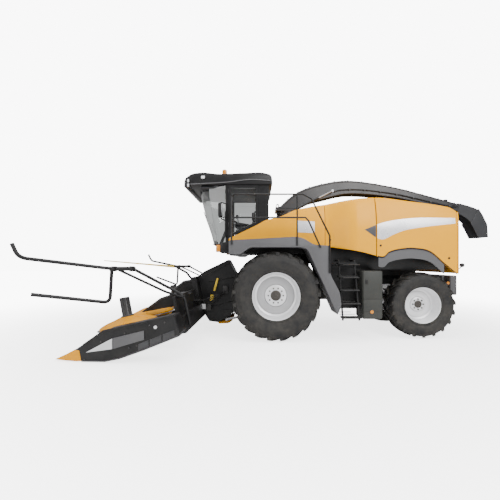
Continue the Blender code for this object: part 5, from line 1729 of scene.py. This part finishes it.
@dataclass
class Header:
    """The four-rotor header: toothed rotors, dividers, hoods, hoses and the marker rod.

    Attributes:
        lean: Angle that the header leans forward.
        origin: Middle of the rotors' line, ahead of the axle and above the ground.
        rotor_r: Radius of a toothed disc.
        dome_r: Radius of the yellow dome.
        drum_r: Radius of the upright drum on an outer rotor.
        pitch: Distance between two rotors.
        teeth: Teeth round a disc.
        divider: Inner and outer side of an outer divider.
    """

    lean: float = math.radians(10.4)
    origin: tuple[float, float] = (2.93, 0.42)
    rotor_r: float = 0.60
    dome_r: float = 0.54
    drum_r: float = 0.095
    pitch: float = 1.24
    teeth: int = 30
    divider: tuple[float, float] = (2.55, 3.02)

    def at(self, x: float, y: float, z: float) -> Vector:
        """Return the place of a point given in the leaned header frame."""
        return Vector((
            ahead(self.origin[0] + x * math.cos(self.lean) + z * math.sin(self.lean)), y,
            self.origin[1] - x * math.sin(self.lean) + z * math.cos(self.lean),
        ))

    def rotors(self) -> None:
        """Build each rotor's dome, toothed disc and, on the outer two, its drum."""
        up = self.at(0, 0, 1) - self.at(0, 0, 0)
        for index, label in enumerate(("right_outer", "right_inner", "left_inner", "left_outer")):
            body = f"{label}_rotor"
            y = (index - 1.5) * self.pitch
            centre = self.at(0, y, 0)
            fit(lathe(f"{label}_dome", [
                (0.0, 0.189), (0.07, 0.189), (0.115, 0.184), (0.145, 0.168), (0.20, 0.152), (0.30, 0.130),
                (0.40, 0.105), (0.47, 0.080), (0.515, 0.058), (0.535, 0.044), (self.dome_r, 0.034),
                (self.dome_r, 0.020), (0.0, 0.020),
            ], centre, up, 96), body, Slot.ROTOR, (f"{label}_rotor",))
            parts = [lathe("disc", [
                (0.0, 0.018), (self.rotor_r - 0.055, 0.018), (self.rotor_r - 0.050, 0.014),
                (self.rotor_r - 0.050, 0.002), (0.0, 0.002),
            ], centre, up, 96)]
            clear()
            bpy.ops.mesh.primitive_cone_add(vertices=3, radius1=0.050, radius2=0.026, depth=0.014,
                                            location=(self.rotor_r - 0.0505, 0, 0.010), rotation=(0, 0, 0))
            tooth = named("tooth")
            parts += copies(tooth, around(centre, up, self.teeth))
            fit(joined(f"{label}_toothed_disc", parts), body, Slot.STEEL)
            ribs = []
            for place in around(centre, up, 6, 0.2):
                start, end = place @ Vector((0.15, 0, 0.166)), place @ Vector((0.46, 0, 0.086))
                ribs.append(bar("rib", start, end, 0.014, 12, 0.010))
            fit(joined(f"{label}_dome_ribs", ribs), body, Slot.ROTOR)
            if label.endswith("outer"):
                fit(lathe(f"{label}_drum", [
                    (0.0, 0.556), (self.drum_r - 0.012, 0.556), (self.drum_r - 0.004, 0.548),
                    (self.drum_r, 0.52), (self.drum_r, 0.21), (self.drum_r + 0.006, 0.20),
                    (self.drum_r + 0.03, 0.190), (self.drum_r + 0.03, 0.180), (0.0, 0.180),
                ], centre, up, 48), body, Slot.SPOUT)
                fit(joined(f"{label}_drum_strips", [
                    bar("strip", place @ Vector((self.drum_r, 0, 0.215)),
                        place @ Vector((self.drum_r, 0, 0.545)), 0.006, 8, soft=0.0)
                    for place in around(centre, up, 8)
                ]), body, Slot.BLACK)
            else:
                cap = lathe(f"{label}_hub_cover", [
                    (0.0, 0.190), (0.05, 0.1895), (0.075, 0.188), (0.08, 0.175), (0.0, 0.175),
                ], centre, up, 40)
                fit(cap, body, Slot.BLACK)

    def taper(self, obj: bpy.types.Object, side: int) -> bpy.types.Object:
        """Narrow a divider's piece towards its tip and return it."""
        mid = side * (self.divider[0] + self.divider[1]) / 2.0
        for vert in obj.data.vertices:
            narrow = 1.0 - 0.72 * min(max((vert.co.x - ahead(2.80)) / 1.0, 0.0), 1.0)
            vert.co.y = mid + (vert.co.y - mid) * narrow
        return obj

    def dividers(self) -> None:
        """Build the outer dividers with their tips, side sheets and skids."""
        inner, outer = self.divider
        for label, side in SIDES:
            def piece(name: str, outline: Sequence[tuple[float, float]], span: tuple[float, float],
                      finish: Enum,
                      soft: float = 0.012, stands_for: Sequence[str] = ()) -> None:
                """Cut one plate of this divider, taper it and fit it."""
                clear()
                made = slab(f"{label}_{name}", outline, (side * span[0], side * span[1]), 0.0)
                activate(made)
                bpy.ops.object.mode_set(mode="EDIT")
                for x in (2.9, 3.0, 3.1, 3.2, 3.3, 3.4, 3.5, 3.6, 3.7):
                    bpy.ops.mesh.select_all(action="SELECT")
                    bpy.ops.mesh.bisect(plane_co=at(x, 0, 0), plane_no=(1, 0, 0))
                bpy.ops.object.mode_set(mode="OBJECT")
                self.taper(made, side)
                if soft:
                    bevel(made, soft, 3, 25)
                fit(smooth(made), "header", finish, stands_for)

            piece("divider_body", rounded([
                (3.45, 0.185), (2.92, 0.525), (2.07, 0.712), (1.75, 0.79), (1.65, 0.47), (2.25, 0.235),
                (2.65, 0.10), (2.90, 0.045), (3.38, 0.03),
            ], 0.04, 4), (inner, outer - 0.012), Slot.BLACK, 0.02, (f"{label}_divider",))
            piece("divider_tip", [
                (3.79, 0.03), (3.62, 0.105), (3.43, 0.205), (3.34, 0.20), (3.30, 0.022), (3.40, 0.014),
                (3.60, 0.018),
            ], (inner - 0.004, outer), Slot.ROTOR, 0.014)
            piece("silver_sheet", [(3.22, 0.17), (2.757, 0.415), (2.757, 0.245)],
                  (outer - 0.014, outer - 0.001), Shade.PLATE, 0.002)
            piece("grey_sheet", [(2.752, 0.418), (2.235, 0.545), (2.235, 0.396), (2.752, 0.243)],
                  (outer - 0.014, outer - 0.001), Slot.PLATFORM, 0.002)
            piece("top_rail", [
                (3.28, 0.300), (2.92, 0.545), (2.07, 0.735), (1.74, 0.812), (1.74, 0.778), (2.07, 0.700),
                (2.90, 0.510), (3.26, 0.272),
            ], (outer - 0.06, outer), Slot.BLACK, 0.008)
            piece("skid", [
                (3.30, 0.012), (2.88, 0.028), (2.63, 0.080), (2.25, 0.215), (1.66, 0.450), (1.68, 0.475),
                (2.26, 0.240), (2.64, 0.104), (2.89, 0.052), (3.30, 0.036),
            ], (inner + 0.02, outer - 0.004), Slot.SPOUT, 0.004)
            panels = []
            for start, end in ((1.74, 1.93), (1.95, 2.14), (2.16, 2.33)):
                def lower(x: float) -> float:
                    """Return the lower line of the side panels."""
                    return 0.47 + (0.235 - 0.47) * (x - 1.65) / 0.60
                plate = slab("panel", [
                    (start, lower(start) + 0.02), (end, lower(end) + 0.02), (end, lower(end) + 0.12),
                    (start, lower(start) + 0.12)], (side * (outer - 0.014), side * (outer - 0.002)), 0.004)
                panels.append(plate)
            fit(joined(f"{label}_lower_panels", panels), "header", Slot.SPOUT)
            heads = [
                bar("head", at(x, side * (outer - 0.02), z), at(x, side * (outer + 0.003), z),
                    0.013, 6, soft=0.002)
                for x,
                z in ((1.90, 0.68), (2.15, 0.63), (2.55, 0.50), (2.35, 0.30), (2.48, 0.26), (2.95, 0.36),
                         (3.25, 0.05))
            ]
            fit(self.taper(joined(f"{label}_divider_bolts", heads), side), "header", Slot.AXLE)
            fit(bar(f"{label}_divider_reflector", at(2.05, side * (outer - 0.02), 0.60),
                    at(2.05, side * (outer + 0.004), 0.60), 0.026, 24), "header", Shade.PLATE)

    def hoods(self) -> None:
        """Build the moulded hoods between the rotors, the crop noses and the belly pan."""
        for label, y in (("right", -self.pitch), ("left", self.pitch)):
            fit(slab(f"{label}_row_hood_cover", rounded([
                (2.86, 0.605), (2.46, 0.905), (2.20, 0.995), (1.86, 1.025), (1.83, 0.985), (2.20, 0.95),
                (2.44, 0.86), (2.80, 0.60),
            ], 0.02, 4), (y - 0.145, y + 0.145), 0.015), "header", Slot.SPOUT)
        fit(slab("centre_hood_cover", rounded([
            (2.66, 0.72), (2.55, 0.965), (2.25, 1.205), (1.94, 1.245), (1.92, 1.20), (2.23, 1.155),
            (2.49, 0.93), (2.58, 0.715),
        ], 0.02, 4), (-0.17, 0.17), 0.015), "header", Slot.SPOUT)
        for name, y in (("right_nose", -self.pitch), ("centre_nose", 0.0), ("left_nose", self.pitch)):
            nose = block(name, at(2.62, y - 0.16, 0.16), at(3.70, y + 0.16, 0.42), 0.0)
            for vert in nose.data.vertices:
                share = min(max((vert.co.x - ahead(2.62)) / 1.08, 0.0), 1.0)
                top = 0.50 * (1 - share) + 0.10 * share
                vert.co.z = (0.30 * (1 - share) + 0.035 * share) if vert.co.z < 0.29 else top
                vert.co.y = y + (vert.co.y - y) * (1.0 - 0.75 * share)
            fit(smooth(bevel(nose, 0.03, 4)), "header", Slot.ROTOR)
        fit(slab("belly_pan", rounded([
            (0.98, 0.34), (1.00, 0.24), (1.10, 0.175), (1.34, 0.165), (1.36, 0.21), (1.20, 0.235),
            (1.06, 0.31),
        ], 0.03, 4), (-0.36, 0.36), 0.012), "header", Slot.ROTOR)

    def machinery(self) -> None:
        """Build the drive boxes, shafts, hoses and coupling plate behind the rotors."""
        boxes = []
        for index in range(4):
            y = (index - 1.5) * self.pitch
            boxes.append(bar("gearbox", self.at(-0.92, y - 0.10, -0.02), self.at(-0.92, y + 0.10, -0.02),
                             0.085, 28))
            boxes.append(bar("flange", self.at(-0.92, y + 0.10, -0.02), self.at(-0.92, y + 0.125, -0.02),
                             0.11, 28))
        for y in (-self.pitch, 0.0, self.pitch):
            boxes.append(bar("shaft", self.at(-0.92, y - 0.46, -0.02), self.at(-0.92, y + 0.46, -0.02),
                             0.030, 20))
        fit(joined("rotor_drive_line", boxes), "header", Slot.AXLE)
        hoses = []
        for index in range(5):
            y = 0.50 + 0.05 * index
            rise = 0.05 * index
            hoses.append(pipe("hose", [
                at(1.16, y * 0.88, 1.02 - 0.03 * index), at(1.34, y, 0.72 + rise),
                at(1.55, y + 0.05, 0.62 + rise),
                at(1.70, y + 0.20, 0.80), at(1.84, y + 0.34, 0.88 - 0.02 * index),
            ], 0.0125, 0.12))
        fit(joined("header_hoses", hoses), "header", Slot.BLACK)
        blocks = [block("valve", at(1.50, 0.44, 0.52), at(1.64, 0.60, 0.70), 0.012),
                  block("coupler", at(1.10, 0.425, 0.92), at(1.22, 0.50, 1.10), 0.010)]
        for row in range(4):
            blocks.append(bar("fitting", at(1.57, 0.60, 0.545 + 0.04 * row),
                              at(1.57, 0.655, 0.545 + 0.04 * row), 0.015, 6, soft=0.002))
        fit(joined("header_valve_block", blocks), "header", Slot.AXLE)
        fit(joined("hose_guards", [
            bar("guard", at(1.35, 0.475, 1.28), at(1.43, 0.475, 0.98), 0.026, 20),
            bar("guard", at(1.48, 0.475, 0.88), at(1.50, 0.475, 0.74), 0.045, 20),
        ]), "header", Shade.WAND)
        fit(block("feeder_plate", at(1.62, 0.601, 0.56), at(1.80, 0.607, 0.68), 0.002), "header",
            Shade.PLATE)
        fit(joined("feeder_ribs", [
            bar("rib", at(start[0], side * 0.424, start[1]),
                at(end[0], side * 0.424, end[1]), 0.012, 12)
            for side in (1, -1)
            for start, end in (((1.00, 0.72), (1.62, 0.56)), ((0.98, 1.30), (1.58, 1.20)),
                               ((1.10, 1.62), (1.62, 1.36)))
        ]), "header", Slot.BLACK)
        fit(bar("marker_wand", at(2.52, 0, 1.5534), at(4.306, 0, 1.7097), 0.0265, 24, 0.011), "header",
            Shade.WAND)
        for label, side in SIDES:
            routes = (
                ([(2.70, 2.40, 1.57), (1.72, 2.40, 1.05), (1.615, 2.40, 0.532)], 0.028),
                ([(2.90, 2.41, 1.52), (2.05, 2.41, 1.12), (1.73, 2.41, 1.02)], 0.024),
                ([(2.60, 2.42, 1.545), (3.05, 2.43, 1.545), (4.15, 3.19, 1.73), (4.25, 3.19, 1.95)], 0.031),
                ([(3.02, 2.43, 1.53), (3.05, 2.44, 0.93), (3.95, 3.19, 1.15)], 0.031),
            )
            tubes = [
                pipe("tube", [at(x, side * y, z) for x, y, z in route], radius, 0.12, 6)
                for route, radius in routes
            ]
            tubes.append(block("head", at(2.62, side * 2.37, 1.505), at(3.06, side * 2.46, 1.58), 0.012))
            fit(joined(f"{label}_bent_crop_bar", tubes), "header", Slot.BLACK, (f"{label}_crop_bar",))
            clamps = [
                block("clamp", at(x - 0.035, side * (y - 0.05), z - 0.05),
                      at(x + 0.035, side * (y + 0.05), z + 0.045), 0.010)
                for x, z, y in ((2.66, 1.543, 2.42), (2.98, 1.543, 2.43))
            ]
            for point in ((1.72, 1.05), (1.73, 1.02)):
                clamps.append(bar("bolt", at(point[0], side * 2.36, point[1]),
                                  at(point[0], side * 2.45, point[1]), 0.014, 6, soft=0.002))
            fit(joined(f"{label}_bar_clamps", clamps), "header", Slot.BLACK)

    def build(self) -> None:
        """Build the header's pieces."""
        self.rotors()
        self.dividers()
        self.hoods()
        self.machinery()


# -------------------------------------------------------------------- chassis

@dataclass
class Chassis:
    """Ladder grips, locker fittings, tail weight fittings, lines and axle details."""

    def ladder(self) -> None:
        """Build the punched grip strips on the treads."""
        low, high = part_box("boarding_ladder")
        grips = []
        for step in range(5):
            z = low.z + 0.09 + step * (high.z - low.z - 0.2) / 4.0
            for across in range(3):
                y = low.y + 0.04 + across * (high.y - low.y - 0.08) / 2.0
                grips.append(bar("grip", (low.x + 0.03, y, z), (high.x - 0.03, y, z), 0.007, 8, soft=0.0))
        fit(joined("ladder_grips", grips), "chassis", Slot.BLACK)

    def lockers(self) -> None:
        """Build the seams, latches and reflectors of the side lockers."""
        for label, side in SIDES:
            low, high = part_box(f"{label}_locker")
            face = high.y if side > 0 else low.y
            fit(block(f"{label}_locker_lid", (low.x + 0.012, face - side * 0.01, 0.888),
                      (high.x - 0.012, face + side * 0.008, high.z - 0.015), 0.012), "chassis", Slot.LOCKER)
            fit(block(f"{label}_locker_toe", (low.x + 0.012, face - side * 0.01, low.z + 0.16),
                      (high.x - 0.012, face + side * 0.008, 0.872), 0.012), "chassis", Slot.LOCKER)
            fit(bar(f"{label}_side_reflector", at(-2.02, face, 0.615),
                    at(-2.02, face + side * 0.014, 0.615), 0.036, 28), "chassis", Shade.AMBER)
            fit(block(f"{label}_locker_latch", (high.x - 0.10, face, 1.20),
                      (high.x - 0.05, face + side * 0.016, 1.30), 0.006), "chassis", Slot.BLACK)

    def tail(self) -> None:
        """Build the tail weight's lamps, its plate and the towing pin."""
        low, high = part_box("rear_weight")
        for label, side in SIDES:
            fit(bar(f"{label}_weight_lamp", (low.x + 0.22, side * (high.y - 0.004), 1.17),
                    (low.x + 0.22, side * (high.y + 0.010), 1.17), 0.034, 28), "chassis", Shade.AMBER)
        fit(block("tail_plate", (low.x - 0.004, -0.24, 1.18), (low.x + 0.004, 0.24, 1.29), 0.002),
            "chassis", Slot.BLACK)
        fit(joined("towing_jaw", [
            block("jaw", (low.x - 0.002, -0.07, low.z + 0.05), (low.x + 0.06, 0.07, low.z + 0.15),
                  0.012),
            bar("pin", (low.x + 0.02, 0, low.z + 0.02), (low.x + 0.02, 0, low.z + 0.20), 0.018, 20),
        ]), "chassis", Slot.STEEL)

    def lines(self) -> None:
        """Build the hoses and hubs of the front axle, and the exhaust behind the cab."""
        hoses = []
        for side in (1, -1):
            for index in range(3):
                y = side * (0.55 + 0.04 * index)
                hoses.append(pipe("hose", [
                    at(-0.30, y, 1.30), at(-0.10, y, 1.16 + 0.02 * index), at(0.14, y, 1.10),
                    at(0.20, y, 0.98 - 0.02 * index),
                ], 0.012, 0.08))
        fit(joined("axle_hoses", hoses), "chassis", Slot.BLACK)
        for label, side in SIDES:
            inner = middle(f"{label}_front_tyre").y - side * 0.36
            fit(lathe(f"{label}_final_drive", [
                (0.0, 0.17), (0.10, 0.17), (0.14, 0.155), (0.20, 0.13), (0.21, 0.10), (0.21, 0.03),
                (0.19, 0.0), (0.0, 0.0),
            ], at(0.0, inner - side * 0.10, 0.95), (0, side, 0), 48), "chassis", Slot.AXLE)
        fit(lathe("exhaust_outlet", [
            (0.0, 0.26), (0.050, 0.26), (0.055, 0.255), (0.075, 0.20), (0.075, 0.02), (0.085, 0.0),
            (0.0, 0.0),
        ], at(-1.30, -0.62, 2.96), (0, 0, 1), 40), "chassis", Slot.STEEL)

    def build(self) -> None:
        """Build the chassis pieces."""
        self.ladder()
        self.lockers()
        self.tail()
        self.lines()


def wheels() -> list[Wheel]:
    """Return the four wheels at their sizes."""
    made = []
    for label, side in SIDES:
        made.append(Wheel(f"{label}_front", f"{label}_front_wheel", side, lugs=21, bolts=10, bolt_ring=0.16,
                          plate_r=0.235, hub_r=0.115, disc=0.01))
        made.append(Wheel(f"{label}_rear", f"{label}_rear_wheel", side, lugs=19, bolts=8, bolt_ring=0.115,
                          plate_r=0.165, hub_r=0.085, disc=-0.06, lug_depth=0.042, lug_width=0.056,
                          grey_disc=False))
    return made


def main() -> None:
    """Build the studio and dress the machine, one assembly after another."""
    Studio().build()
    SHOP.dress_frame()
    for assembly in (*wheels(), Bodywork(), Cab(), Spout(), Header(), Chassis()):
        LOG.info("building %s", type(assembly).__name__)
        assembly.build()


if __name__ == "__main__":
    main()
